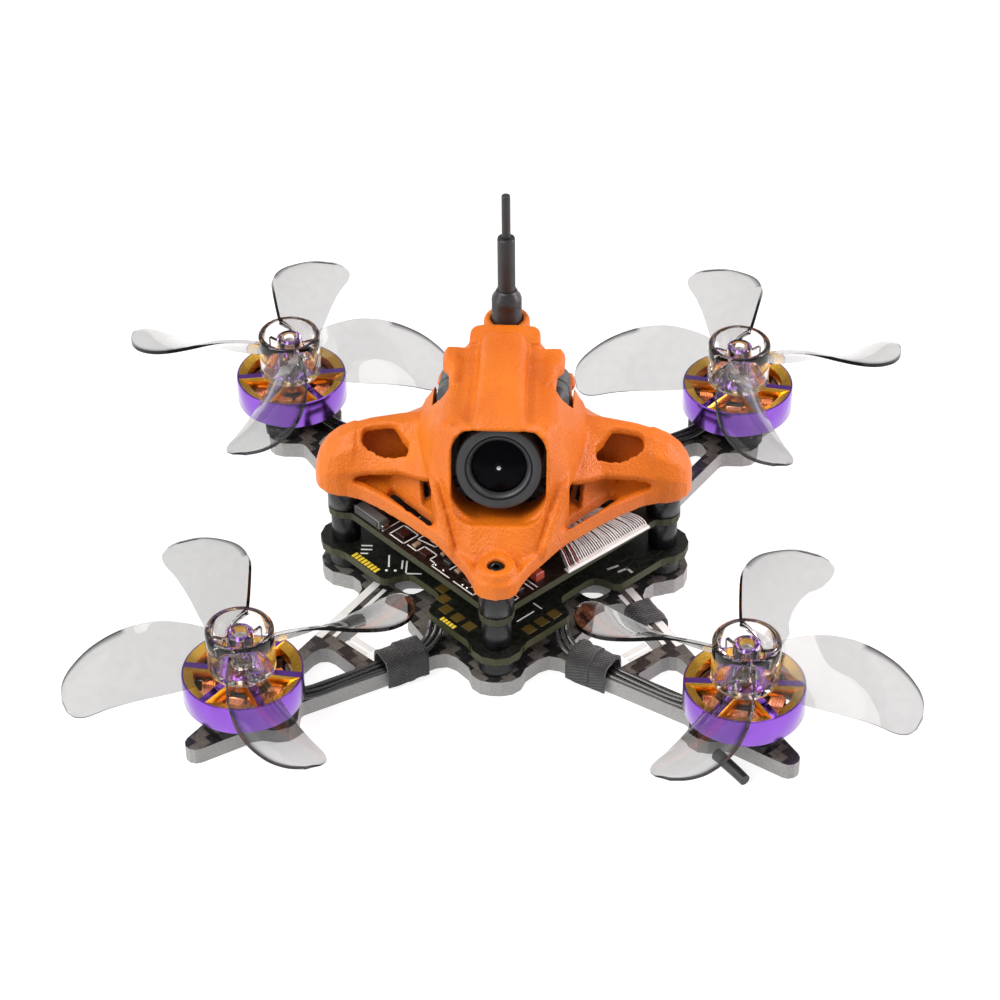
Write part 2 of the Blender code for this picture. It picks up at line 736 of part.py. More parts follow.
def camera_box_mesh(name, margin):
    """Camera body with its front edges cut back; margin is the room left round it."""
    sections = []
    for depth, cut in ((-4.2 - margin, 1.3), (-3.0 - margin, 0.0), (4.2 + margin, 0.0)):
        wide = CAMERA_SIDE / 2 + margin * 0.8 - cut
        tall = 6.6 + margin - cut
        corner = 1.2 if cut == 0 else 0.9
        ring = rounded([(-wide, -tall, corner), (wide, -tall, corner), (wide, tall, corner),
                        (-wide, tall, corner)])
        sections.append([(p.x, depth, p.y) for p in ring])
    return loft_mesh(name, sections)


def lens_opening_mesh():
    """Rounded square tunnel along the lens's line of sight."""
    outline = [(-5.15, -5.95, 2.2), (5.15, -5.95, 2.2), (5.15, 4.6, 2.4), (-5.15, 4.6, 2.4)]
    mesh = flat_mesh("lens_opening", [rounded(outline)], 3.0, 20.0)
    mesh.transform(Matrix.Rotation(math.radians(90), 4, "X"))
    return tilted(mesh)


def chin_mesh():
    """Solid kept under the lens opening, so that the opening has a floor."""
    outline = [(-7.4, -7.05, 0.0), (7.4, -7.05, 0.0), (7.4, -3.1, 0.0), (-7.4, -3.1, 0.0)]
    mesh = flat_mesh("chin", [rounded(outline)], 6.2, 14.3)
    mesh.transform(Matrix.Rotation(math.radians(90), 4, "X"))
    return tilted(mesh)


def flange_mesh(sx):
    """Shoulder beside the crest, widening towards the rear."""
    sections = []
    for y, reach, low, top in ((-0.7, 5.75, 27.0, 28.05), (1.2, 5.85, 27.0, 28.6), (2.2, 6.55, 27.1, 28.85),
                               (4.6, 6.65, 27.2, 28.9)):
        ring = [(3.0, low), (reach + 0.2, low), (reach + 0.15, (low + top) / 2), (reach - 0.3, top), (3.0, top)]
        sections.append([(sx * x, y, z) for x, z in ring])
    return loft_mesh("flange", sections)


def make_canopy(collection, guides, material):
    rim = rounded(four_ways(RIM_QUADRANT), step=30)
    deck_hole = rounded(four_ways([(u, v, 0.0) for u, v in DECK_HOLE]))
    deck = flat_mesh("canopy", [rim, deck_hole] + mirrored_holes(SLOT), CANOPY_LOW, 15.3)
    canopy = add_object("canopy", deck, collection, material)

    def part(name, mesh):
        """Hidden helper object of the canopy, for a boolean."""
        return as_cutter(add_object(f"canopy_{name}", mesh, guides))

    corners = four_ways(RIM_QUADRANT)
    inner = inset([(x, y) for x, y, _ in corners], 1.0)
    inner = [(x, y, max(0.0, r - 1.0)) for (x, y), (_, _, r) in zip(inner, corners)]
    boolean(canopy, part("deck_room", flat_mesh("deck_room", [rounded(inner, step=30)], 14.6, 16.0)))
    boolean(canopy, part("tower", tower_mesh("tower", 0.0)), "UNION")
    for name in ("front", "rear"):
        x, y = POSTS[name]
        boss = cone_mesh("boss", 2.45, 2.1, 2.9, 20)
        boss.transform(Matrix.Translation(Vector((x, y, CANOPY_LOW + 1.75)) * MM))
        boolean(canopy, part(f"boss_{name}", boss), "UNION")
    for name in ("front", "rear"):
        drill = cone_mesh("drill", SCREW_HOLE, SCREW_HOLE, 8.0)
        drill.transform(Matrix.Translation(Vector((*POSTS[name], CANOPY_LOW + 3.0)) * MM))
        boolean(canopy, part(f"drill_{name}", drill))
    boolean(canopy, part("ridge", ridge_mesh("ridge", 0.0)), "UNION")
    block = [(-3.95, 5.0, 0.3), (3.95, 5.0, 0.3), (3.95, 8.4, 1.4), (-3.95, 8.4, 1.4)]
    boolean(canopy, part("block", flat_mesh("block", [rounded(block)], 25.0, 29.3)), "UNION")
    cavity = part("cavity", tower_mesh("cavity", WALL))
    boolean(cavity, part("chin", chin_mesh()))
    boolean(canopy, cavity)
    boolean(canopy, part("channel", ridge_mesh("channel", 1.0)))
    tunnel = cone_mesh("tunnel", 5.2, 5.2, 9.2, 24)
    tunnel.transform(Matrix.Rotation(math.radians(90), 4, "X"))
    tunnel.transform(Matrix.Translation(Vector((0, -7.8, 0)) * MM))
    boolean(canopy, part("tunnel", tilted(tunnel)))
    boolean(canopy, part("opening", lens_opening_mesh()))
    for sx in (-1, 1):
        side = box_mesh("side", (5.0, 15.4, 4.37))
        side.transform(Matrix.Translation(Vector((sx * 8.03, 0, 16.92)) * MM))
        boolean(canopy, part(f"side_{sx}", side))
    boolean(canopy, part("body_room", tilted(camera_box_mesh("body_room", 0.5))))
    for sx in (-1, 1):
        boolean(canopy, part(f"wing_{sx}", wing_mesh(sx)), "UNION")
        boolean(canopy, part(f"nose_{sx}", nose_mesh(sx)), "UNION")
        boolean(canopy, part(f"flange_{sx}", flange_mesh(sx)), "UNION")
        for sy in (-1, 1):
            boolean(canopy, part(f"rib_{sx}_{sy}", rib_mesh(sx, sy)), "UNION")
        ear = box_mesh("ear", (1.02, 5.0, 6.3))
        ear.transform(Matrix.Translation(Vector((sx * 8.37, CAMERA_CENTRE.y, 19.43)) * MM))
        boolean(canopy, part(f"ear_{sx}", ear), "UNION")
    for sx in (-1, 1):
        drill = cone_mesh("drill", SCREW_HOLE, SCREW_HOLE, 7.0)
        drill.transform(Matrix.Translation(Vector((sx * POST_OFFSET, 0, CANOPY_LOW)) * MM))
        boolean(canopy, part(f"drill_{sx}", drill))
        outline = rounded([(sx * u, v, r) for u, v, r in ROOF_HOLE])
        roof_hole = flat_mesh("roof_hole", [outline], 17.0, 24.0)
        boolean(canopy, part(f"roof_hole_{sx}", roof_hole))
    pivot = cone_mesh("pivot_hole", 0.95, 0.95, 24.0, 12)
    pivot.transform(Matrix.Rotation(math.radians(90), 4, "Y"))
    boolean(canopy, part("pivot_hole", tilted(pivot)))
    for sx in (-1, 1):
        seat = cone_mesh("seat", 1.8, 1.8, 3.0, 12)
        seat.transform(Matrix.Rotation(math.radians(90), 4, "Y"))
        seat.transform(Matrix.Translation(Vector((sx * 10.35, 0, 0)) * MM))
        boolean(canopy, part(f"seat_{sx}", tilted(seat)))
    flatten = canopy.modifiers.new("flatten", "DECIMATE")
    flatten.decimate_type = "DISSOLVE"
    flatten.angle_limit = math.radians(1.5)


# ---------------------------------------------------------------- camera and antenna


def make_camera(collection, guides, materials):
    pivot = bpy.data.objects.new("camera_axis", None)
    collection.objects.link(pivot)
    pivot.matrix_world = camera_matrix()

    half = CAMERA_SIDE / 2
    mesh = camera_box_mesh("camera_body", 0.0)
    body = add_object("camera_body", mesh, collection, materials["camera"])
    body.parent = pivot
    hole = cone_mesh("pivot_bore", 0.9, 0.9, 4.0)
    hole.transform(Matrix.Rotation(math.radians(90), 4, "Y"))
    for sx in (-1, 1):
        bore = as_cutter(add_object(f"pivot_bore_{sx}", hole, guides, at=(sx * half, 0, 0)))
        bore.parent = pivot
        boolean(body, bore)
        screw = [(0, 1.7), (1.4, 1.7), (1.4, 0.9), (0.78, 0.9), (0.78, -1.6), (0, -1.6)]
        label = "left" if sx < 0 else "right"
        place = camera_matrix() @ Vector((sx * (half + 0.95) * MM, 0, 0))
        obj = add_object(f"camera_pivot_{label}", turned_mesh("pivot", screw), collection,
                         materials["steel"], turn=(0, math.radians(90 * sx), 0))
        obj.location = place
        spin(obj, 12)

    barrel = [
        (0, LENS_REACH - 1.6), (3.1, LENS_REACH - 1.6), (3.1, LENS_REACH), (4.4, LENS_REACH),
        (4.7, LENS_REACH - 0.4), (4.7, 4.3), (0, 4.3),
    ]
    turn = (math.radians(90), 0, 0)
    lens = add_object("lens_barrel", turned_mesh("barrel", barrel), collection, materials["camera"], turn=turn)
    lens.parent = pivot
    spin(lens, 28)
    glass = [
        (0, LENS_REACH - 0.2), (1.6, LENS_REACH - 0.45), (3.0, LENS_REACH - 1.1),
        (3.0, LENS_REACH - 1.5), (0, LENS_REACH - 1.5),
    ]
    disc = add_object("lens_glass", turned_mesh("glass", glass), collection, materials["lens"], turn=turn)
    disc.parent = pivot
    spin(disc, 24)


def make_antenna(collection, material):
    low = ANTENNA_LOW
    boot = [(0, 32.7), (1.2, 32.7), (1.7, 31.8), (1.7, low), (0, low)]
    sleeve = [(0, 39.5), (1.0, 39.5), (1.0, 32.7 + GAP), (0, 32.7 + GAP)]
    rod = [(0, 45.0), (0.5, 45.0), (0.5, 39.5 + GAP), (0, 39.5 + GAP)]
    for name, profile in (("antenna_boot", boot), ("antenna_sleeve", sleeve), ("antenna_rod", rod)):
        obj = add_object(name, turned_mesh(name, profile), collection, material, at=(0, ANTENNA_Y, 0))
        spin(obj, 16)


def make_cables(collection, guides, materials):
    """Flat coaxial ribbon from the upper board's right edge, and the data socket."""
    points = [(11.7, -7.6, 10.45), (10.9, -6.8, 11.1), (9.6, -5.5, 12.0), (8.0, -3.9, 12.35)]
    route = curve_through(points, parts=2)
    mesh = tube_mesh("coax_ribbon", route, 0.22, side=5.9, resolution=1, tilt=math.radians(90))
    add_object("coax_ribbon", mesh, collection, materials["wire_white"])
    socket = box_mesh("usb_socket", (8.9, 7.0, 3.2))
    obj = add_object("usb_socket", socket, collection, materials["steel"], at=(-5.9, 5.9, 7.1),
                     turn=(0, 0, math.radians(45)))
    mouth = add_object("usb_mouth", box_mesh("mouth", (8.1, 6.4, 2.4)), guides, at=(-6.5, 6.5, 7.1),
                       turn=(0, 0, math.radians(45)))
    boolean(obj, as_cutter(mouth))


# ---------------------------------------------------------------- build


def make_materials():
    return {
        "carbon": make_material("carbon", (0.05, 0.05, 0.055), 0.4),
        "board": make_material("board", (0.03, 0.035, 0.025), 0.5),
        "rubber": make_material("rubber", (0.02, 0.02, 0.02), 0.6),
        "steel": make_material("steel", (0.35, 0.33, 0.31), 0.35, metallic=1.0),
        "plastic": make_material("plastic", (0.03, 0.03, 0.03), 0.4),
        "white_plastic": make_material("white_plastic", (0.8, 0.8, 0.78), 0.4),
        "motor_black": make_material("motor_black", (0.02, 0.02, 0.022), 0.35, metallic=0.6),
        "copper": make_material("copper", (0.6, 0.25, 0.12), 0.35, metallic=1.0),
        "purple": make_material("purple", (0.22, 0.08, 0.6), 0.25, metallic=0.8),
        "clear": make_material("clear", (0.85, 0.85, 0.87), 0.08, alpha=0.4),
        "wire": make_material("wire", (0.015, 0.015, 0.015), 0.45),
        "wire_white": make_material("wire_white", (0.8, 0.8, 0.8), 0.5),
        "cloth": make_material("cloth", (0.02, 0.02, 0.02), 0.95),
        "canopy": make_material("canopy", (0.9, 0.25, 0.03), 0.55),
        "camera": make_material("camera", (0.03, 0.03, 0.033), 0.45),
        "lens": make_material("lens", (0.01, 0.01, 0.015), 0.05),
    }


def main():
    clear_scene()
    parts = new_collection("racing_drone")
    guides = new_collection("guides")
    materials = make_materials()
    make_frame(parts, materials["carbon"])
    make_boards(parts, materials)
    make_posts(parts, materials)
    make_boot_button(parts, materials)
    for name in MOTORS:
        make_motor(name, parts, materials)
    make_wires(parts, materials["wire"])
    make_wraps(parts, materials["cloth"])
    make_tail(parts, materials["wire"])
    make_canopy(parts, guides, materials["canopy"])
    make_camera(parts, guides, materials)
    make_antenna(parts, materials["rubber"])
    make_cables(parts, guides, materials)


main()
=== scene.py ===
import random
from math import asin, atan2, copysign, cos, degrees, hypot, pi, radians, sin, sqrt, tan, tau

import bmesh
import bpy
from mathutils import Matrix, Vector, noise
from mathutils.geometry import tessellate_polygon


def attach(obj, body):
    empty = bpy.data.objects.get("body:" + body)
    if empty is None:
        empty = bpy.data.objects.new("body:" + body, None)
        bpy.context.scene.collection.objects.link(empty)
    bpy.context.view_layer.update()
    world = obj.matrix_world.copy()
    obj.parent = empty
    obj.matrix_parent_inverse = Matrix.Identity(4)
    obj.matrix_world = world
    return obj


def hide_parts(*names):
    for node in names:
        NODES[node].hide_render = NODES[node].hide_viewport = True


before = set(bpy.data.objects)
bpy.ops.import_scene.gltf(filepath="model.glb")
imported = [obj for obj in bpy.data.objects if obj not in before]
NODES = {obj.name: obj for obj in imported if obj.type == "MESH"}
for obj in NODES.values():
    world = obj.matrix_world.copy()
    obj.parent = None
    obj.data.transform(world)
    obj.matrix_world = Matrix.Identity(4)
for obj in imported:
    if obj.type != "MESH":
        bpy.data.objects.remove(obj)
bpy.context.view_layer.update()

# Lengths are millimetres unless a name says otherwise; meshes are scaled by MM when made.
MM = 0.001
MOTORS = {
    # sign of X, sign of Y, spin seen from above (1 is counterclockwise), blade angle, bell angle
    "front_left": (-1, -1, -1, 21, -6),
    "front_right": (1, -1, 1, -19, 0),
    "rear_left": (-1, 1, 1, -4.5, 9),
    "rear_right": (1, 1, -1, 5.75, -9),
}
MOTOR_OFFSET = 26.9
POST_OFFSET = 18.03
PLATE_TOP = 2
LOWER_BOARD_TOP, LOWER_BOARD_SIDE = 5.4, 30
UPPER_BOARD_TOP, UPPER_BOARD_SIDE = 10.1, 27
ANTENNA_Y = 10.5
CAMERA_CENTRE = Vector((0, 1.1, 19.7))
CAMERA_TILT = 18
POSTS = {
    "front": (0.0, -POST_OFFSET), "right": (POST_OFFSET, 0.0),
    "rear": (0.0, POST_OFFSET), "left": (-POST_OFFSET, 0.0),
}
QUARTERS = [(-1, -1), (-1, 1), (1, -1), (1, 1)]
MATERIALS = {}


# ---- materials


class Shader:
    """A material with short calls for its nodes; texture positions are in millimetres."""

    def __init__(self, name, **inputs):
        self.material = MATERIALS[name] = bpy.data.materials.new(name)
        self.material.use_nodes = True
        self.tree = self.material.node_tree
        self.surface = self.tree.nodes["Principled BSDF"]
        self.output = self.tree.nodes["Material Output"]
        place = self.tree.nodes.new("ShaderNodeTexCoord").outputs["Object"]
        self.place = self.vector("SCALE", place, scale=1 / MM)
        self.set(**inputs)

    def set(self, **inputs):
        for key, value in inputs.items():
            self.feed(self.surface.inputs[key.replace("_", " ")], value)
        return self

    def feed(self, socket, value):
        if isinstance(value, bpy.types.NodeSocket):
            self.tree.links.new(value, socket)
        elif socket.type == "RGBA" and len(value) == 3:
            socket.default_value = (*value, 1)
        else:
            socket.default_value = value

    def node(self, kind, settings=None, **inputs):
        made = self.tree.nodes.new("ShaderNode" + kind)
        for key, value in (settings or {}).items():
            setattr(made, key, value)
        for key, value in inputs.items():
            self.feed(made.inputs[key.replace("_", " ")], value)
        return made

    def math(self, operation, *values):
        return self.fill(self.node("Math", {"operation": operation}), values).outputs[0]

    def vector(self, operation, *values, scale=None):
        made = self.fill(self.node("VectorMath", {"operation": operation}), values)
        if scale is not None:
            made.inputs["Scale"].default_value = scale
        return made.outputs[0]

    def fill(self, made, values):
        for socket, value in zip(made.inputs, values):
            self.feed(socket, value)
        return made

    def axes(self, source=None):
        return self.fill(self.node("SeparateXYZ"), [source or self.place]).outputs

    def noise(self, size, detail=2, roughness=0.5, stretch=(1, 1, 1)):
        """Noise whose features are about size millimetres."""
        place = self.vector("MULTIPLY", self.place, stretch)
        made = self.node("TexNoise", Scale=1 / size, Detail=detail, Roughness=roughness)
        self.feed(made.inputs["Vector"], place)
        return made.outputs[0]

    def spread(self, value, low, high, new_low=0, new_high=1):
        made = self.node("MapRange")
        for key, number in (("Value", value), ("From Min", low), ("From Max", high),
                            ("To Min", new_low), ("To Max", new_high)):
            self.feed(made.inputs[key], number)
        return made.outputs[0]

    def mix(self, share, low, high):
        made = self.node("Mix", {"data_type": "RGBA"})
        for index, value in ((0, share), (6, low), (7, high)):
            self.feed(made.inputs[index], value)
        return made.outputs[2]

    def blotches(self, size, low, high, detail=2, **shape):
        """Colour that drifts between two; patches are about size millimetres."""
        return self.mix(self.spread(self.noise(size, detail, **shape), 0.3, 0.7), low, high)

    def bump(self, height, depth, strength=1, under=None):
        """Bump whose full height is depth millimetres."""
        made = self.node("Bump", Height=height, Strength=strength, Distance=depth * MM)
        if under is not None:
            self.feed(made.inputs["Normal"], under)
        self.feed(self.surface.inputs["Normal"], made.outputs[0])
        return made.outputs[0]

    def level(self, least, underside=False):
        """1 where a face points up, or down too, and 0 elsewhere."""
        normal = self.tree.nodes.new("ShaderNodeNewGeometry").outputs["True Normal"]
        up = self.axes(normal)[2]
        return self.math("GREATER_THAN", self.math("ABSOLUTE", up) if underside else up, least)


def darker(colour, share):
    return tuple(c * share for c in colour)


def varied(name, colour, roughness, size=2, change=0.15, grain=0.15, depth=0.01, **inputs):
    """Plain material with slow colour changes and a fine surface grain."""
    shader = Shader(name, **inputs)
    fine = shader.noise(grain)
    light = tuple(min(1, c * (1 + change)) for c in colour)
    shader.set(
        Base_Color=shader.blotches(size, darker(colour, 1 - change), light, 3),
        Roughness=shader.spread(fine, 0.3, 0.7, roughness * 0.85, min(1, roughness * 1.15)),
    )
    shader.bump(fine, depth)


def carbon_material():
    """Woven carbon on the faces, plain laminate on the cut edges."""
    shader = Shader("carbon_plate", Specular_IOR_Level=0.5)
    calc = shader.math
    tow = 1.15
    resin, yarn, layer_line = (0.018, 0.018, 0.019), (0.13, 0.118, 0.105), (0.12, 0.12, 0.12)
    x, y, z = shader.axes()[:3]
    u = calc("DIVIDE", calc("MULTIPLY", calc("ADD", x, y), 0.7071), tow)
    v = calc("DIVIDE", calc("MULTIPLY", calc("SUBTRACT", x, y), 0.7071), tow)
    steps = calc("ADD", calc("FLOOR", u), calc("FLOOR", v))
    over = calc("LESS_THAN", calc("FLOORED_MODULO", steps, 4), 1.5)
    crown_u, crown_v = [calc("SINE", calc("MULTIPLY", calc("FRACT", way), pi)) for way in (u, v)]
    crown = calc("ADD", calc("MULTIPLY", crown_u, over),
                 calc("MULTIPLY", crown_v, calc("SUBTRACT", 1, over)))
    threads = shader.noise(0.12, stretch=(0.35, 0.35, 1), detail=1)
    patchy = shader.noise(3, detail=3)
    shade = shader.mix(shader.spread(patchy, 0.3, 0.6, 0.35, 1), resin, shader.mix(over, resin, yarn))
    layers = calc("SINE", calc("MULTIPLY", z, 24))
    edge = shader.blotches(0.3, (0.22, 0.218, 0.214), (0.36, 0.355, 0.35), 3, stretch=(1, 1, 5))
    edge = shader.mix(shader.spread(layers, -1, 1, 0, 0.15), edge, layer_line)
    top = shader.level(0.7, underside=True)
    shader.set(
        Base_Color=shader.mix(top, edge, shade),
        Roughness=calc("ADD", shader.spread(threads, 0.3, 0.7, 0.24, 0.36),
                       shader.spread(top, 0, 1, 0.25, 0)),
    )
    shader.bump(calc("MULTIPLY", crown, top), 0.035, 0.7)


def board_material(name, face, rim):
    """Dark solder mask with faint buried tracks; the cut edge is olive laminate."""
    shader = Shader(name, Specular_IOR_Level=0.3)
    x, y = shader.axes()[:2]
    cell = shader.node("TexVoronoi", {"feature": "DISTANCE_TO_EDGE", "distance": "EUCLIDEAN"}, Scale=0.7)
    turned = shader.node("CombineXYZ", X=shader.math("ADD", x, y), Y=shader.math("SUBTRACT", x, y), Z=0)
    shader.feed(cell.inputs["Vector"], turned.outputs[0])
    tracks = shader.math("LESS_THAN", cell.outputs[0], 0.06)
    dark = shader.blotches(2.5, darker(face, 0.7), face, 3)
    mask = shader.mix(shader.math("MULTIPLY", tracks, 0.55), dark, darker(face, 2.6))
    edge = shader.blotches(0.25, darker(rim, 0.5), rim, stretch=(1, 1, 6))
    up = shader.level(0.6)
    shader.set(Base_Color=shader.mix(up, edge, mask), Roughness=shader.spread(up, 0, 1, 0.55, 0.32))
    shader.bump(shader.math("MULTIPLY", tracks, up), 0.02, 0.6)


def cloth_material():
    """Black woven tape: a fine plain weave with a little fuzz."""
    shader = Shader("black_cloth", Sheen_Weight=0.35, Sheen_Roughness=0.5)
    calc = shader.math
    cos_turn, sin_turn = 0.86, 0.5
    x, y, z = shader.axes()[:3]
    pitch = 2 * pi / 0.42
    along = calc("ADD", calc("MULTIPLY", x, cos_turn), calc("MULTIPLY", y, sin_turn))
    across = calc("SUBTRACT", calc("MULTIPLY", y, cos_turn), calc("MULTIPLY", x, sin_turn))
    u = calc("SINE", calc("MULTIPLY", along, pitch))
    v = calc("SINE", calc("MULTIPLY", calc("ADD", z, across), pitch))
    weave = calc("MULTIPLY", u, v)
    fuzz = shader.noise(0.12, detail=3)
    shade = calc("ADD", shader.spread(weave, -1, 1, 0, 0.5), shader.spread(fuzz, 0.3, 0.7, 0, 0.5))
    shader.set(Base_Color=shader.mix(shade, (0.006, 0.006, 0.007), (0.035, 0.035, 0.038)), Roughness=0.9)
    shader.bump(fuzz, 0.03, 0.6, under=shader.bump(weave, 0.05, 0.8))


def canopy_material():
    """Orange print: sandy surface, slightly glossy, with a faint change of tone."""
    shader = Shader("orange_canopy", Specular_IOR_Level=0.3, Subsurface_Weight=0.04, Subsurface_Scale=1)
    shader.set(Subsurface_Radius=(1 * MM, 0.35 * MM, 0.08 * MM))
    sand = shader.noise(0.28, detail=2, roughness=0.6)
    grit = shader.node("TexVoronoi", {"feature": "F1"}, Scale=1 / 0.3)
    shader.feed(grit.inputs["Vector"], shader.place)
    grains = shader.spread(grit.outputs["Distance"], 0, 0.6, 1, 0)
    shader.set(
        Base_Color=shader.blotches(6, (0.58, 0.125, 0.006), (0.66, 0.158, 0.008), 3),
        Roughness=shader.spread(sand, 0.3, 0.7, 0.3, 0.46),
    )
    shader.bump(sand, 0.1, 0.8, under=shader.bump(grains, 0.07, 0.6))


def anodised(name, colour, roughness, **inputs):
    """Turned and anodised aluminium with fine machining marks."""
    shader = Shader(name, Metallic=1, **inputs)
    marks = shader.noise(0.08, stretch=(0.25, 0.25, 6))
    shader.set(
        Base_Color=shader.blotches(1.6, darker(colour, 0.85), colour),
        Roughness=shader.spread(marks, 0.3, 0.7, roughness * 0.7, roughness * 1.3),
    )
    shader.bump(marks, 0.006, 0.5)


def copper_material():
    """Enamelled copper wire: warm metal with darker shadows between turns."""
    shader = Shader("copper_windings", Metallic=0.55, Coat_Weight=0.7, Coat_Roughness=0.1)
    wound = shader.noise(0.25)
    share = shader.spread(wound, 0.3, 0.7)
    shader.set(
        Base_Color=shader.mix(share, (0.92, 0.36, 0.20), (1, 0.52, 0.34)),
        Roughness=shader.spread(wound, 0.3, 0.7, 0.2, 0.3),
    )
    shader.bump(wound, 0.004, 0.4)


def clear_material(name, tint, painted_edge_shade=None, ior=1.46):
    """Clear moulded plastic that lets lamp light through; edges may be darker, with painted shade: a
    near-black tint that stands in for the dark line that refraction gives a clear edge.
    """
    shader = Shader(name, Transmission_Weight=1, IOR=ior)
    ripple = shader.noise(1.2, detail=1)
    colour = shader.mix(shader.spread(ripple, 0.3, 0.7), darker(tint, 0.96), tint)
    # painted shade: where the edge attribute is 1, the colour turns to the near-black edge tint
    if painted_edge_shade is not None:
        share = shader.node("Attribute", {"attribute_name": "edge"}).outputs["Fac"]
        colour = shader.mix(share, colour, painted_edge_shade)
    shader.set(Base_Color=colour, Roughness=0.02)
    shader.bump(ripple, 0.004, 0.6)
    lamp = shader.node("LightPath").outputs["Is Shadow Ray"]
    open_way = shader.node("BsdfTransparent", Color=colour)
    both = shader.node("MixShader")
    shader.feed(both.inputs[0], lamp)
    shader.tree.links.new(shader.surface.outputs[0], both.inputs[1])
    shader.tree.links.new(open_way.outputs[0], both.inputs[2])
    shader.tree.links.new(both.outputs[0], shader.output.inputs[0])


def make_materials():
    carbon_material()
    board_material("lower_board", (0.006, 0.007, 0.005), (0.05, 0.052, 0.02))
    board_material("upper_board", (0.011, 0.006, 0.005), (0.045, 0.047, 0.02))
    varied("black_rubber", (0.004, 0.004, 0.005), 0.3, depth=0.004, change=0.3)
    varied("dark_steel", (0.045, 0.042, 0.04), 0.35, Metallic=1)
    anodised("shaft_steel", (0.62, 0.58, 0.55), 0.2)
    anodised("socket_steel", (0.5, 0.5, 0.5), 0.32)
    varied("motor_base_black", (0.015, 0.014, 0.016), 0.3, Metallic=0.7)
    copper_material()
    anodised("purple_bell", (0.27, 0.085, 0.62), 0.14, Coat_Weight=0.5, Coat_Roughness=0.05)
    anodised("gold_facets", (1, 0.56, 0.08), 0.22)
    varied("dark_core", (0.16, 0.10, 0.08), 0.4, Metallic=0.4)
    # the second colour is painted shade for the blades' outer front edges and tips
    clear_material("clear_blade", (0.585, 0.585, 0.585), (0.03, 0.03, 0.032), ior=1.38)
    clear_material("clear_hub", (0.97, 0.955, 0.95))
    varied("black_wire", (0.012, 0.012, 0.013), 0.28, depth=0.004, Coat_Weight=0.4)
    cloth_material()
    canopy_material()
    varied("camera_plastic", (0.028, 0.030, 0.033), 0.42, grain=0.1, depth=0.012)
    varied("lens_glass", (0.0012, 0.0012, 0.0022), 0.2, depth=0, IOR=1.12)
    varied("lens_dark", (0.002, 0.002, 0.003), 0.4, depth=0.002, IOR=1.2)
    # painted glint: pale metal for the small disc at the lens's centre, standing in for a reflection
    varied("lens_painted_glint", (0.55, 0.5, 0.58), 0.12, Metallic=1, depth=0.002)
    varied("antenna_plastic", (0.017, 0.017, 0.018), 0.38, depth=0.008)
    varied("coax_wire", (0.80, 0.79, 0.78), 0.35, depth=0.004)
    varied("coax_dark", (0.02, 0.014, 0.014), 0.35, depth=0.004)
    varied("coax_red", (0.34, 0.05, 0.03), 0.4, depth=0.004)
    varied("button_plastic", (0.75, 0.74, 0.70), 0.4)
    varied("button_housing", (0.03, 0.03, 0.03), 0.4)
    varied("print_white", (0.78, 0.78, 0.77), 0.45, change=0.06, depth=0.006)
    varied("print_grey", (0.42, 0.42, 0.42), 0.45, change=0.1, depth=0.006)
    varied("pad_gold", (0.085, 0.055, 0.010), 0.35, change=0.2, depth=0.006)
    varied("pad_yellow", (0.85, 0.62, 0.05), 0.35, change=0.1, depth=0.01)
    varied("chip_black", (0.022, 0.021, 0.021), 0.38, grain=0.12, depth=0.01)
    varied("chip_maroon", (0.030, 0.010, 0.008), 0.2, grain=0.2, depth=0.004)
    varied("solder", (0.62, 0.62, 0.60), 0.28, Metallic=1, depth=0.02)
    varied("ceramic", (0.30, 0.20, 0.13), 0.4)
    varied("grey_plastic", (0.10, 0.10, 0.10), 0.45)


# ---- mesh building


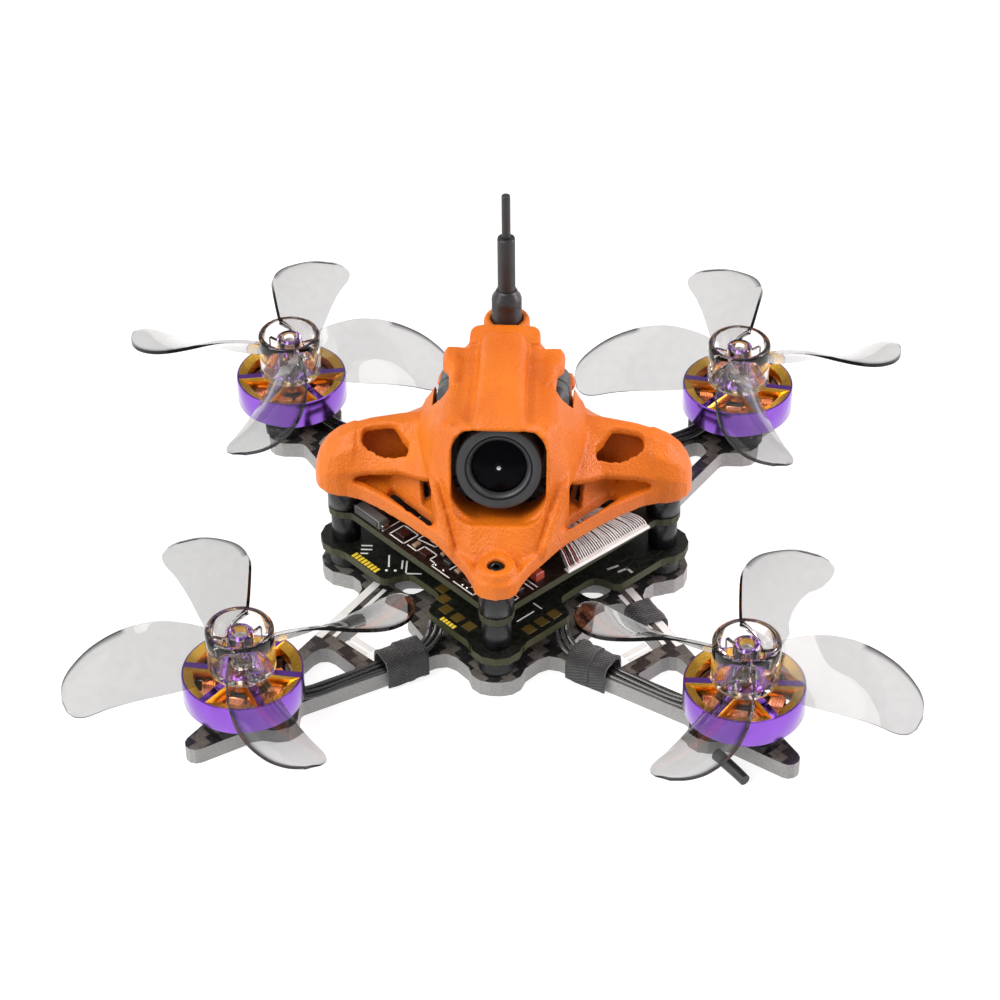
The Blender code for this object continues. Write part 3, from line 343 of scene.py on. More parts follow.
class Build:
    """Vertices and faces of one piece, with a material number for each face."""

    def __init__(self):
        self.verts = []
        self.faces = []
        self.numbers = []
        self.flat = []

    def add(self, verts, faces, number=0, matrix=None, flat=False):
        start = len(self.verts)
        for v in verts:
            v = Vector(v)
            self.verts.append(matrix @ v if matrix is not None else v)
        for face in faces:
            self.faces.append([start + i for i in face])
            self.numbers.append(number)
            self.flat.append(flat)

    def rings(self, rings, number=0, matrix=None, caps=False, flat=False):
        """Skin between point rings of one count."""
        count = len(rings[0])
        verts = [p for ring in rings for p in ring]
        faces = []
        for r in range(len(rings) - 1):
            for k in range(count):
                n = (k + 1) % count
                faces.append((r * count + k, r * count + n, (r + 1) * count + n, (r + 1) * count + k))
        if caps:
            last = (len(rings) - 1) * count
            faces += [tuple(reversed(range(count))), tuple(range(last, last + count))]
        self.add(verts, faces, number, matrix, flat)

    def lathe(self, profile, steps=48, number=0, matrix=None, closed=False):
        """Profile of (radius, z) turned round Z; it runs from the top, outside, to the bottom."""
        points = list(profile) + ([profile[0]] if closed else [])
        rings = [[(p.x, p.y, z) for p in circle(max(radius, 0.0005), steps)] for radius, z in points]
        self.rings(rings[::-1], number, matrix)

    def tube(self, route, radius, sides=8, number=0, matrix=None, taper=None):
        """Round tube along a route; taper gives each point's share of the radius."""
        rings = []
        side = None
        for i, p in enumerate(route):
            ahead = (route[min(i + 1, len(route) - 1)] - route[max(i - 1, 0)]).normalized()
            if side is None:
                side = ahead.orthogonal().normalized()
            side = (side - ahead * side.dot(ahead)).normalized()
            up = ahead.cross(side)
            r = radius * (taper[i] if taper else 1)
            rings.append([p + side * q.x + up * q.y for q in circle(r, sides)])
        self.rings(rings, number, matrix, caps=True)

    def slab(self, loops, low, high, number=0, matrix=None, bevel=0):
        """Flat solid from an outline and its holes, with a small bevel on the outline's top."""
        loops = [[Vector((p[0], p[1], 0)) for p in loop] for loop in loops]
        loops = [loop if (signed_area(loop) > 0) == (i == 0) else loop[::-1] for i, loop in enumerate(loops)]
        tops = [offset(loop, bevel) for loop in loops] if bevel else loops
        up = facing(tops, True)
        down = [face[::-1] for face in up]
        self.add([(p.x, p.y, high) for loop in tops for p in loop], up, number, matrix, flat=True)
        self.add([(p.x, p.y, low) for loop in loops for p in loop], down, number, matrix, flat=True)
        for loop, top in zip(loops, tops):
            rings = [[(p.x, p.y, low) for p in loop]]
            if bevel:
                rings.append([(p.x, p.y, high - bevel) for p in loop])
            rings.append([(p.x, p.y, high) for p in top])
            self.rings(rings, number, matrix)

    def block(self, centre, size, number=0, angle=0, bevel=0.08, matrix=None):
        """Box with bevelled top edges; size is its full extent and angle is in radians."""
        x, y, z = size
        outline = [(-x / 2, -y / 2), (x / 2, -y / 2), (x / 2, y / 2), (-x / 2, y / 2)]
        place = move(*centre) @ Matrix.Rotation(angle, 4, "Z")
        if matrix is not None:
            place = matrix @ place
        self.slab([outline], -z / 2, z / 2, number, place, bevel=min(bevel, x / 4, y / 4, z / 3))

    def mesh(self, name):
        data = bpy.data.meshes.new(name)
        data.from_pydata([v * MM for v in self.verts], [], self.faces)
        data.polygons.foreach_set("material_index", self.numbers)
        data.polygons.foreach_set("use_smooth", [not f for f in self.flat])
        data.update()
        return data

    def show(self, name, slot, materials=None, replaces=(), body="airframe", sharp=35):
        show(name, self.mesh(name), body, materials or [slot], replaces, sharp)


def move(x, y, z=0):
    return Matrix.Translation((x, y, z))


def turn(angle, axis="Z"):
    """Rotation by an angle in degrees."""
    return Matrix.Rotation(radians(angle), 4, axis)


def arc(radius, first, last, parts):
    """Points round Z from one angle to another, in radians."""
    angles = [first + (last - first) * k / parts for k in range(parts + 1)]
    return [Vector((radius * cos(a), radius * sin(a), 0)) for a in angles]


def circle(radius, count, way=1):
    return arc(radius, 0, way * tau, count)[:-1]


def facing(loops, up):
    """Triangles that fill an outline and its holes and face up, or down."""
    points = [p for loop in loops for p in loop]
    faces = []
    for a, b, c in tessellate_polygon(loops):
        z = (points[b] - points[a]).cross(points[c] - points[a]).z
        faces.append((a, b, c) if (z > 0) == up else (a, c, b))
    return faces


def signed_area(loop):
    return sum(a.x * b.y - b.x * a.y for a, b in zip(loop, loop[1:] + loop[:1])) / 2


def offset(loop, distance):
    """Outline moved towards its left side, which is inward for a counterclockwise one."""
    moved = []
    for i, p in enumerate(loop):
        before = (p - loop[i - 1]).normalized()
        after = (loop[(i + 1) % len(loop)] - p).normalized()
        normal = Vector((-before.y - after.y, before.x + after.x, 0))
        normal = normal.normalized() if normal.length > 1e-9 else Vector((-before.y, before.x, 0))
        reach = distance / max(0.5, normal.dot(Vector((-before.y, before.x, 0))))
        moved.append(p + normal * reach)
    return moved


def placed(name, data):
    obj = bpy.data.objects.new(name, data)
    bpy.context.scene.collection.objects.link(obj)
    return obj


def show(name, mesh, body, materials, replaces=(), sharp=35):
    """Puts a piece in the scene, ties it to its body and hides the CAD nodes that it replaces."""
    obj = placed(name, mesh)
    for key in materials:
        mesh.materials.append(MATERIALS[key])
    if sharp:
        mesh.set_sharp_from_angle(angle=radians(sharp))
    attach(obj, body)
    if replaces:
        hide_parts(*replaces)


def working_copy(node):
    """A copy of a CAD node's shape, to be worked on and then removed."""
    return placed("working_copy", NODES[node].data.copy())


def applied(obj):
    """The object's mesh with its modifiers applied."""
    graph = bpy.context.evaluated_depsgraph_get()
    return bpy.data.meshes.new_from_object(obj.evaluated_get(graph))


def break_edges(obj, width):
    edge = obj.modifiers.new("edge", "BEVEL")
    edge.width = width * MM
    edge.segments = 2
    edge.limit_method = "ANGLE"
    edge.angle_limit = radians(50)


def smooth_route(points, parts=6):
    """Points on a smooth curve through the given ones."""
    places = [Vector(p) for p in points]
    places = [2 * places[0] - places[1]] + places + [2 * places[-1] - places[-2]]
    route = []
    for a, b, c, d in zip(places, places[1:], places[2:], places[3:]):
        for k in range(parts):
            t = k / parts
            route.append(0.5 * (2 * b + (c - a) * t + (2 * a - 5 * b + 4 * c - d) * t * t
                                + (3 * b - a - 3 * c + d) * t * t * t))
    route.append(places[-2])
    return route


def rounded(corners, radius, parts=6):
    """Outline of straight edges with each corner turned into an arc."""
    points = []
    for i, corner in enumerate(corners):
        here = Vector(corner[:2])
        r = corner[2] if len(corner) > 2 else radius
        before = (Vector(corners[i - 1][:2]) - here).normalized()
        after = (Vector(corners[(i + 1) % len(corners)][:2]) - here).normalized()
        half = before.angle(after) / 2
        reach = r / tan(half)
        centre = here + (before + after).normalized() * (r / sin(half))
        start = here + before * reach - centre
        swing = start.angle_signed(here + after * reach - centre)
        for k in range(parts + 1):
            points.append(centre + Matrix.Rotation(-swing * k / parts, 2) @ start)
    return points


def motor_place(name):
    sx, sy = MOTORS[name][:2]
    return move(sx * MOTOR_OFFSET, sy * MOTOR_OFFSET)


def camera_place():
    """Frame of the camera; its lens looks along -Y."""
    return move(*CAMERA_CENTRE) @ turn(-CAMERA_TILT, "X")


# ---- canopy


# inner walls that close the canopy's wings, right side: corners, then thickness
INNER_WALLS = [
    ([(9.4, 2.3, 20.6), (16.6, 1.7, 19.4), (16.6, 1.3, 13.9), (9.4, 1.9, 13.9)], 0.9),
    ([(8.6, -6.2, 13.9), (12.6, -1.8, 13.9), (12.3, 0.3, 16.4), (8.9, -3.8, 16.9)], 0.8),
]
# rear part of the slot that looks down on the upper board, right side
SLOT_BACK = [(7.6, -10.2), (13, -4.3), (12.3, -2.4), (7.6, -7.6)]
# raised ring that the antenna's boot stands in
ANTENNA_CUP = [
    (1.8, 28.8), (2.4, 28.8), (2.62, 28.5), (2.62, 26.1), (2, 25.5), (0, 25.5), (0, 27.1), (1.8, 27.1),
]


def wall(build, corners, thickness, sx):
    """Flat closed plate with four corners, given for the right side."""
    points = [Vector((sx * x, y, z)) for x, y, z in corners]
    normal = (points[1] - points[0]).cross(points[3] - points[0]).normalized() * (thickness / 2)
    build.rings([[p - normal for p in points], [p + normal for p in points]], caps=True)


def step(value, low, high):
    """Smooth change from 0 to 1 as the value goes from low to high."""
    t = min(1, max(0, (value - low) / (high - low)))
    return t * t * (3 - 2 * t)


def corner_fill(build, sx, sy):
    """Round corner of the opening round the lens, kept clear of the lens at every tilt."""
    x, y, radius, low, high = (5.4, 4.85, 4, 10.2, 11.75) if sy > 0 else (5.4, -6.2, 4.3, 7, 12.4)
    outline = [(sx * x, y)]
    for p in arc(radius, 0, pi / 2, 8):
        outline.append((sx * (x - radius + p.x), y - sy * radius + sy * p.y))
    build.slab([outline], low, high, 0, camera_place() @ turn(90, "X"))


def sculpt(mesh):
    """Crowns the crest along the roof, hollows the shoulders beside it, and blends both into the brow."""
    moved = []
    for vertex in mesh.vertices:
        p, n = vertex.co / MM, vertex.normal
        x = abs(p.x)
        roof = step(n.z, 0.15, 0.6) * step(p.z, 25.6, 27.2)
        crest = step(p.y, -9.2, -5) * (1 - step(p.y, 4.6, 5.4)) * max(0, 1 - (x / 2.7) ** 2) * 0.6
        hollow = step(p.y, -9.6, -6.5) * (1 - step(p.y, 3, 5)) * step(x, 2.5, 3.2) * (1 - step(x, 4.2, 5.6))
        brow = (1 - step(p.y, -9.6, -7)) * (1 - step(x, 2, 5)) * 0.15
        moved.append(p + n * roof * (crest - hollow * 0.5 + brow))
    for vertex, p in zip(mesh.vertices, moved):
        vertex.co = p * MM


def make_canopy():
    """The CAD shell with its inner walls added and every edge rounded off, as a print is."""
    rough = working_copy("canopy")
    walls, slots = Build(), Build()
    for sx in (-1, 1):
        for corners, thickness in INNER_WALLS:
            wall(walls, corners, thickness, sx)
        for sy in (-1, 1):
            corner_fill(walls, sx, sy)
        slots.slab([[(sx * x, y) for x, y in SLOT_BACK]], 12.4, 15.2)
    walls.lathe(ANTENNA_CUP, 40, 0, move(0, ANTENNA_Y), closed=True)
    cutter = placed("slot_cutter", slots.mesh("slots"))
    cut = rough.modifiers.new("slots", "BOOLEAN")
    cut.operation = "DIFFERENCE"
    cut.object = cutter
    rough.data = applied(rough)
    rough.modifiers.clear()
    bpy.data.objects.remove(cutter)
    shape = bmesh.new()
    shape.from_mesh(rough.data)
    shape.from_mesh(walls.mesh("walls"))
    shape.to_mesh(rough.data)
    shape.free()
    voxels = rough.modifiers.new("voxels", "REMESH")
    voxels.mode = "VOXEL"
    voxels.voxel_size = 0.19 * MM
    ease = rough.modifiers.new("ease", "SMOOTH")
    ease.factor = 0.5
    ease.iterations = 8
    mesh = applied(rough)
    bpy.data.objects.remove(rough)
    sculpt(mesh)
    mesh.materials.clear()
    mesh.polygons.foreach_set("use_smooth", [True] * len(mesh.polygons))
    show("canopy_print", mesh, "airframe", ["orange_canopy"], ["canopy"], sharp=None)


# ---- motors


SPOKES = 6
SPOKE_HALF = 0.42
BELL_RADIUS = 6.6
BELL_TOP = 8.35
SPOKE_LOW = 6.95
MAGNETS = 12
TEETH = 9


def pocket_outline(outer, half, inner):
    """One window between two spokes, first sector, counterclockwise from the outer arc."""
    sector = tau / SPOKES
    first = asin(half / outer)
    last = asin(min(0.95, half / inner))
    return arc(outer, first, sector - first, 10) + arc(inner, sector - last, last, 3)


def make_bell(name):
    build = Build()
    place = motor_place(name) @ turn(MOTORS[name][4])
    sectors = [Matrix.Rotation(tau * k / SPOKES, 4, "Z") for k in range(SPOKES)]
    upper = pocket_outline(6.38, SPOKE_HALF, 2.2)
    middle = pocket_outline(5.35, SPOKE_HALF + 0.22, 2.3)
    lower = pocket_outline(5.25, SPOKE_HALF + 0.26, 2.35)
    for outline, height, up in ((upper, BELL_TOP, True), (lower, SPOKE_LOW, False)):
        loops = [circle(6.42, 96), circle(0.82, 24, -1)] + [[m @ p for p in outline][::-1] for m in sectors]
        points = [(p.x, p.y, height) for loop in loops for p in loop]
        build.add(points, facing(loops, up), 0, place, flat=True)
    for m in sectors:
        rings = []
        for outline, height in ((lower, SPOKE_LOW), (middle, 8), (upper, BELL_TOP)):
            rings.append([m @ Vector((p.x, p.y, height)) for p in outline])
        build.rings(rings, 1, place, flat=True)
    build.lathe([
        (6.42, BELL_TOP), (6.55, 8.3), (BELL_RADIUS, 8.18), (BELL_RADIUS, 5.1), (6.55, 5), (6.45, 4.95),
        (6.05, 4.95), (6, 5), (6, SPOKE_LOW), (6.42, SPOKE_LOW),
    ], 96, 0, place)
    build.lathe([(0.82, 8.7), (1.7, 8.7), (1.85, 8.55), (1.9, BELL_TOP)], 36, 0, place)
    for k in range(MAGNETS):
        first, last = tau * (k + 0.08) / MAGNETS, tau * (k + 0.92) / MAGNETS
        build.slab([arc(5.97, first, last, 4) + arc(5.45, last, first, 4)], 5.05, 6.9, 2, place)
    build.show(f"bell_{name}_turned", "purple_bell", ["purple_bell", "gold_facets", "dark_steel"],
               [f"bell_{name}"], f"rotor_{name}", sharp=30)


def coil():
    """Route of the copper wire wound round one stator tooth that points along +X."""
    turns, points = 6, 16
    route = []
    for i in range(turns * points + 1):
        t = i / points
        c, s = cos(tau * t), sin(tau * t)
        square = 1 / max(abs(c), abs(s)) * 0.8 + 0.2
        across = (0.98 - 0.05 * t) * c * square * 0.93
        route.append(Vector((2.95 + 0.27 * t, across, 5.75 + 0.98 * s * square)))
    return route


def make_stator(name):
    build = Build()
    place = motor_place(name)
    build.lathe([(2.16, 6.6), (2.6, 6.6), (2.6, 4.9), (2.16, 4.9)], 36, 0, place, closed=True)
    for k in range(TEETH):
        tooth = place @ Matrix.Rotation(tau * (k + 0.5) / TEETH, 4, "Z")
        build.block((3.8, 0, 5.75), (2.6, 0.9, 1.3), 0, matrix=tooth)
        build.slab([[(5, -1.45), (5.35, -1.5), (5.4, 0), (5.35, 1.5), (5, 1.45), (5.1, 0)]],
                   4.95, 6.55, 0, tooth, bevel=0.1)
        build.tube(coil(), 0.16, 6, 1, tooth)
    build.show(f"stator_{name}_wound", "copper_windings", ["dark_core", "copper_windings"],
               [f"stator_{name}"])


def make_base(name):
    """Three-armed motor foot with screws, and the bearing tube that carries the stator."""
    build = Build()
    sx, sy = MOTORS[name][:2]
    place = motor_place(name) @ turn(degrees(atan2(sy, sx)) - 45)
    lobes = [radians(45 + 120 * k) for k in range(3)]
    corners = []
    for lobe in lobes:
        for angle, reach, radius in ((lobe - 0.35, 5.3, 1.25), (lobe + 0.35, 5.3, 1.25),
                                     (lobe + pi / 3, 2.6, 0.95)):
            corners.append((reach * cos(angle), reach * sin(angle), radius))
    build.slab([rounded(corners, 1), circle(1.4, 24)], PLATE_TOP + 0.06, 3.1, 0, place, bevel=0.15)
    build.lathe([(1.05, 7.1), (1.95, 7.1), (2.1, 6.95), (2.1, 3.4), (2.4, 3.1), (1.05, 3.1)], 36, 0, place)
    build.lathe([(4.3, 4.75), (4.5, 4.6), (4.5, 3.9), (2.3, 3.5), (2.1, 3.6), (2.1, 4.75)], 48, 0, place)
    screw = [(0.02, 3.12), (0.34, 3.12), (0.38, 3.32), (0.72, 3.32), (0.8, 3.22), (0.8, 3.08)]
    for lobe in lobes:
        build.lathe(screw, 20, 1, place @ move(4.1 * cos(lobe), 4.1 * sin(lobe)))
    build.show(f"motor_base_{name}_foot", "motor_base_black", ["motor_base_black", "dark_steel"],
               [f"motor_base_{name}"])


# ---- propellers


BLADE = [
    # radius, chord, pitch in degrees, height of the middle, sweep in degrees
    (3.2, 5.2, 50, 11.6, 0),
    (5.5, 6.8, 47, 11.8, 1.5),
    (8.5, 7.9, 42, 12, 3),
    (12, 8.2, 31, 11.9, 3),
    (15.5, 7.8, 20, 11.5, 0.5),
    (18, 6.6, 13.5, 11.1, -3.2),
    (19.3, 4.6, 11.5, 10.95, -5.6),
    (19.9, 1.6, 11, 10.9, -7.2),
]
BLADE_FRONT, BLADE_REAR = 0.42, 0.14
CAMBER = 0.35
# painted shade on a blade's front edge and tip starts beyond this radius
PAINTED_SHADE_FROM = 12.5


def blade_stations():
    first = smooth_route([Vector(s[:3]) for s in BLADE], 5)
    last = smooth_route([Vector((s[0], s[3], s[4])) for s in BLADE], 5)
    return [(p.x, p.y, p.z, q.y, q.z) for p, q in zip(first, last)]


def add_blade(build, way, place, painted_shade_marks):
    """One blade; the list it is given takes 1 for each vertex of its outer front edge and tip, where shade
    is painted, and 0 elsewhere.
    """
    steps = 10
    shares = [0.5 - k / steps for k in range(steps + 1)]
    section = [(share, 0.5) for share in shares] + [(share, -0.5) for share in reversed(shares)]
    stations = blade_stations()
    rings = []
    for radius, chord, pitch, height, sweep in stations:
        rise, run = sin(radians(pitch)), cos(radians(pitch))
        ring = []
        for share, side in section:
            thick = BLADE_REAR + (BLADE_FRONT - BLADE_REAR) * (share + 0.5) ** 0.6
            camber = CAMBER * (1 - (2 * share) ** 2) * min(1, chord / 8)
            along, across = share * chord, side * thick + camber
            a = radians(sweep) + (along * run - across * rise) / radius
            ring.append((radius * cos(a), way * radius * sin(a), height + along * rise + across * run))
            # vertices of the outer front edge and tip get painted shade
            edge = share == 0.5 or radius == stations[-1][0]
            painted_shade_marks.append(1.0 if edge and radius > PAINTED_SHADE_FROM else 0.0)
        rings.append(ring if way > 0 else ring[::-1])
    build.rings(rings, 0, place, caps=True)


def make_propeller(name):
    way, angle = MOTORS[name][2:4]
    place = motor_place(name)
    build = Build()
    painted_shade_marks = []
    for k in range(4):
        add_blade(build, way, place @ turn(angle + 90 * k), painted_shade_marks)
    mesh = build.mesh("blades")
    # the edge attribute carries where the blades' painted shade goes
    mesh.attributes.new("edge", "FLOAT", "POINT").data.foreach_set("value", painted_shade_marks)
    show(f"propeller_{name}_blades", mesh, f"rotor_{name}", ["clear_blade"],
         [f"propeller_{name}"], sharp=50)
    hub = Build()
    hub.lathe([
        (1.5, 13.6), (1.5, 9.75), (3.05, 9.65), (3.05, 14), (3.15, 14.2), (3.35, 14.27), (3.55, 14.2),
        (3.68, 14), (3.7, 13.6), (3.7, 9.1), (3.55, 8.85), (3.3, 8.75), (1.3, 8.75), (0.82, 8.9),
        (0.82, 13.4), (0.95, 13.7), (1.3, 13.75),
    ], 72, 0, place, closed=True)
    for k in range(3):
        hub.block((2.27, 0, 11), (1.7, 0.45, 3), 0, matrix=place @ turn(angle + 30 + 120 * k), bevel=0.1)
    hub.show(f"propeller_{name}_hub", "clear_propeller", ["clear_hub"], body=f"rotor_{name}", sharp=40)


# ---- wires and wraps


WIRE_ROUTE = [
    (22.9, 25.2, 3), (21.4, 24.3, 2.55), (19.2, 23.2, 2.36), (16.4, 21.45, 2.34), (13, 19.3, 2.34),
    (10.6, 17.8, 2.37), (8.3, 16.1, 2.6), (7.2, 14.7, 3.3), (6.9, 13.6, 4.25),
]
WIRE_PITCH, WIRE_RADIUS = 0.64, 0.29


def make_motor_wires(name):
    sx, sy = MOTORS[name][:2]
    centre = smooth_route([(sx * u, sy * v, z) for u, v, z in WIRE_ROUTE], 5)
    build = Build()
    for shift in (-WIRE_PITCH, 0, WIRE_PITCH):
        route = []
        for i, p in enumerate(centre):
            ahead = centre[min(i + 1, len(centre) - 1)] - centre[max(i - 1, 0)]
            across = Vector((-ahead.y, ahead.x, 0)).normalized()
            wander = 0.05 * sin(i * 0.45 + shift * 7 + sx)
            route.append(p + across * (shift + wander))
        build.tube(route, WIRE_RADIUS, 10)
    build.show(f"motor_wires_{name}_leads", "black_wire", replaces=[f"motor_wires_{name}"])


def wrap(build, place, half_width, height, length, seed):
    """Cloth folded over a bar: a thin sheet with soft creases."""
    foot, rows = 0.3, 15
    outline = []
    for k in range(29):
        a = pi * k / 28
        x = half_width * copysign(abs(cos(a)) ** 0.45, cos(a))
        outline.append((x, foot + (height - foot) * abs(sin(a)) ** 0.4))
    rings = []
    for i in range(rows):
        y = -length / 2 + length * i / (rows - 1)
        end = min(1, 4 * min(i, rows - 1 - i) / (rows - 1))
        outer, inner = [], []
        for x, z in outline:
            crease = noise.noise(Vector((x * 0.9 + seed, y * 0.8, z * 0.9))) * 0.22
            ripple = noise.noise(Vector((x * 2.2, y * 2.4 + seed, z * 2.2))) * 0.07
            swell = crease + ripple
            outer.append((x * (1 + swell * 0.5 * end), y, foot + (z - foot) * (1 + swell * 0.35)))
            inner.append((x * 0.86, y, foot + (z - foot) * 0.9))
        rings.append(outer + inner[::-1])
    build.rings(rings, 0, place, caps=True)


def make_wraps():
    for label, sx in (("left", -1), ("right", 1)):
        build = Build()
        place = move(sx * 10.6, -17.65) @ turn(-sx * 30.5) @ turn(90)
        wrap(build, place, 1.85, 3.7, 5, 3 + sx)
        wrap(build, place @ move(0, 0.9 * sx, 0.05), 1.92, 3.8, 2.6, 9 + sx)
        build.show(f"arm_tape_{label}_wrap", "black_cloth", replaces=[f"arm_tape_{label}"], sharp=60)
    build = Build()
    wrap(build, move(16.35, -8.9) @ turn(-58.6) @ turn(90), 1.78, 2.55, 3.8, 21)
    build.show("strut_strap_wrap", "black_cloth", replaces=["strut_strap"], sharp=60)


def make_tail():
    points = [(24.2, -30.35, 0.8), (25.2, -31.7, 0.85), (26.2, -33, 0.85), (27.1, -34.2, 0.8)]
    route = smooth_route(points, 8)
    build = Build()
    build.tube(route, 0.7, 20, taper=[1 - 0.12 * (i / len(route)) for i in range(len(route))])
    build.show("antenna_tail_sleeve", "black_wire", ["antenna_plastic"], ["antenna_tail"])


def make_coax():
    """Fan of thin coaxial wires that rise from a bar on the upper board's edge and gather inward."""
    rng = random.Random(11)
    build = Build()
    start, end = Vector((7.45, -11.45, 10.15)), Vector((16.3, -3.15, 10.15))
    near, far = Vector((5.9, -5.9, 12.9)), Vector((7.5, -3.7, 13.2))
    along = (end - start).normalized()
    inward = Vector((-along.y, along.x, 0))
    rise = Vector((0, 0, 1))
    build.block((start + end) / 2 + rise * 0.12, ((end - start).length, 0.75, 0.34), 0,
                atan2(along.y, along.x), bevel=0.1)
    count = 38
    for k in range(count):
        share = (k + 0.5) / count
        base = start.lerp(end, share) + rise * 0.22
        loose = along * rng.uniform(-0.05, 0.05) + rise * rng.uniform(-0.12, 0.12)
        way = (inward * (0.95 - 0.25 * share) + along * (0.3 - 1.1 * share)).normalized()
        points = [base, base + inward * 0.4 + rise * 0.34]
        for inside, ahead, up, slack in ((0.55, 0.65, 0.95, 0.5), (0.6, 2.1, 1.55, 1), (0.5, 4, 1.95, 1)):
            points.append(base + inward * inside + way * ahead + rise * up + loose * slack)
        points.append(near.lerp(far, share))
        number = (2, 1, 3)[k % 3] if share < 0.16 else 1
        build.tube(smooth_route(points, 4), 0.082, 6, number)
    build.show("coax_ribbon_wires", "coax_wire", ["print_white", "coax_wire", "coax_dark", "coax_red"],
               ["coax_ribbon"])


# ---- camera and antenna


def make_camera():
    stand = camera_place() @ turn(90, "X")
    body = Build()
    half, tall = 7.3, 6.6
    for low, high, inset in ((-4.2, 0.4, 0), (0.4, 0.75, 0.18), (0.75, 4.2, 0)):
        x, y = half - inset, tall - inset
        outline = rounded([(-x, -y), (x, -y), (x, y), (-x, y)], 1.6)
        body.slab([outline], low, high, 0, stand, bevel=1.2 if high > 1 else 0)
    lid = rounded([(-5.8, -5.2), (5.8, -5.2), (5.8, 5.2), (-5.8, 5.2)], 0.8)
    body.slab([lid], 4.15, 4.4, 0, stand @ turn(180, "Y"), bevel=0.1)
    screw = [(0.02, 4.1), (0.3, 4.1), (0.35, 4.32), (0.62, 4.32), (0.7, 4.2), (0.7, 4)]
    for sx, sy in QUARTERS:
        body.lathe(screw, 20, 1, stand @ move(sx * 5, sy * 4.4))
    body.show("camera_body_shell", "camera_plastic", ["camera_plastic", "dark_steel"], ["camera_body"],
              "camera")
    lens = Build()
    lens.lathe([
        (2.98, 10.7), (3.05, 11.35), (3.3, 11.72), (3.42, 11.78), (3.5, 11.76), (3.58, 11.55), (3.66, 11.55),
        (3.72, 11.95), (3.85, 12), (4.4, 12), (4.6, 11.93), (4.7, 11.75), (4.72, 11.5), (4.72, 9.2),
        (4.6, 9.1), (4.6, 8.9), (4.72, 8.8), (4.72, 4.4), (4.6, 4.25),
    ], 96, 0, stand)
    lens.lathe([(0.05, 10.62), (2.98, 10.7)], 48, 1, stand)
    lens.show("lens_barrel_rings", "camera_plastic", ["camera_plastic", "lens_dark"], ["lens_barrel"],
              "camera", 40)
    glass = Build()
    radius, crown = 2.96, 0.55
    dome = [(0, 11.75)] + [(radius * k / 12, 11.75 - crown * (k / 12) ** 2) for k in range(1, 13)]
    glass.lathe(dome + [(radius, 10.8), (0, 10.8)], 64, 0, stand)
    glass.show("lens_glass_dome", "lens_glass", ["lens_glass"], ["lens_glass"], "camera", 40)
    painted_glint_and_iris = Build()
    # painted glint: the small pale disc at the lens's centre stands in for a reflection; the ring round it
    # is dark
    painted_glint_and_iris.lathe([(0, 11.79), (0.16, 11.785), (0.24, 11.77), (0.26, 11.74)], 20, 0, stand)
    painted_glint_and_iris.lathe([(0.42, 11.765), (0.5, 11.765), (0.52, 11.75), (0.41, 11.75)], 32, 1, stand, closed=True)
    painted_glint_and_iris.show("lens_painted_glint_and_iris", "lens_glass", ["lens_painted_glint", "lens_dark"], (), "camera", 40)


ANTENNA = [
    # CAD node, piece, steps round, half section from the top
    ("antenna_boot", "antenna_boot_moulded", 64, [
        (0, 32.66), (0.95, 32.66), (1.15, 32.55), (1.24, 32.35), (1.32, 32.15), (1.62, 31.7), (1.7, 31.35),
        (1.7, 30.6), (1.66, 30.5), (1.7, 30.4), (1.7, 27.2), (0, 27.2)]),
    ("antenna_sleeve", "antenna_sleeve_tube", 48, [
        (0, 39.5), (0.86, 39.5), (0.97, 39.42), (1, 39.25), (1, 32.75), (0, 32.75)]),
    ("antenna_rod", "antenna_rod_whip", 32, [
        (0, 45), (0.4, 45), (0.48, 44.93), (0.5, 44.8), (0.5, 39.55), (0, 39.55)]),
]


def make_antenna():
    for node, piece, steps, profile in ANTENNA:
        build = Build()
        build.lathe(profile, steps, 0, move(0, ANTENNA_Y))
        build.show(piece, "antenna_plastic", replaces=[node], sharp=45)


# ---- boards and prints


def edge_frame(side, sign, z):
    """Frame on a turned board: X runs outward along a front edge, Y runs inward from the edge."""
    return move(0, -side / sqrt(2), z) @ Matrix.Diagonal((sign, 1, 1, 1)) @ turn(45)


def ink(build, points, width, matrix, number=0, height=0.03):
    """Printed line of flat segments."""
    for (x0, y0), (x1, y1) in zip(points, points[1:]):
        length = hypot(x1 - x0, y1 - y0)
        build.block(((x0 + x1) / 2, (y0 + y1) / 2, height / 2), (length + width, width, height), number,
                    atan2(y1 - y0, x1 - x0), 0, matrix)


UPPER_TRACES = [
    # generic print lines: along the front left edge, then inward from it
    [(2.5, 1), (4.2, 1), (4.2, 0.42), (7.4, 0.42)],
    [(7.2, 2.5), (5.3, 2.5), (5.3, 1.2)],
    [(8.2, 0.45), (11.1, 0.45), (11.1, 1), (12, 1), (12, 2.1), (14.1, 2.1), (14.1, 0.9), (15.6, 0.9)],
    [(16.1, 0.7), (18.5, 0.7), (18.5, 2.9), (16.1, 2.9), (16.1, 0.7)],
    [(19.4, 0.5), (19.4, 4.2)],
    [(15.6, 3.4), (15.6, 2.4), (13.2, 2.9), (13.2, 4.4)],
    [(9.2, 1.5), (9.2, 3.6), (10.9, 3.6)],
    [(14.4, 3.3), (12.2, 3.3), (12.2, 4.6)],
    [(17.2, 3.9), (18.4, 3.9), (18.4, 5.2)],
    [(6.4, 3.4), (8.2, 3.4), (8.2, 4.6)],
    [(3.4, 2), (4.6, 2)],
]
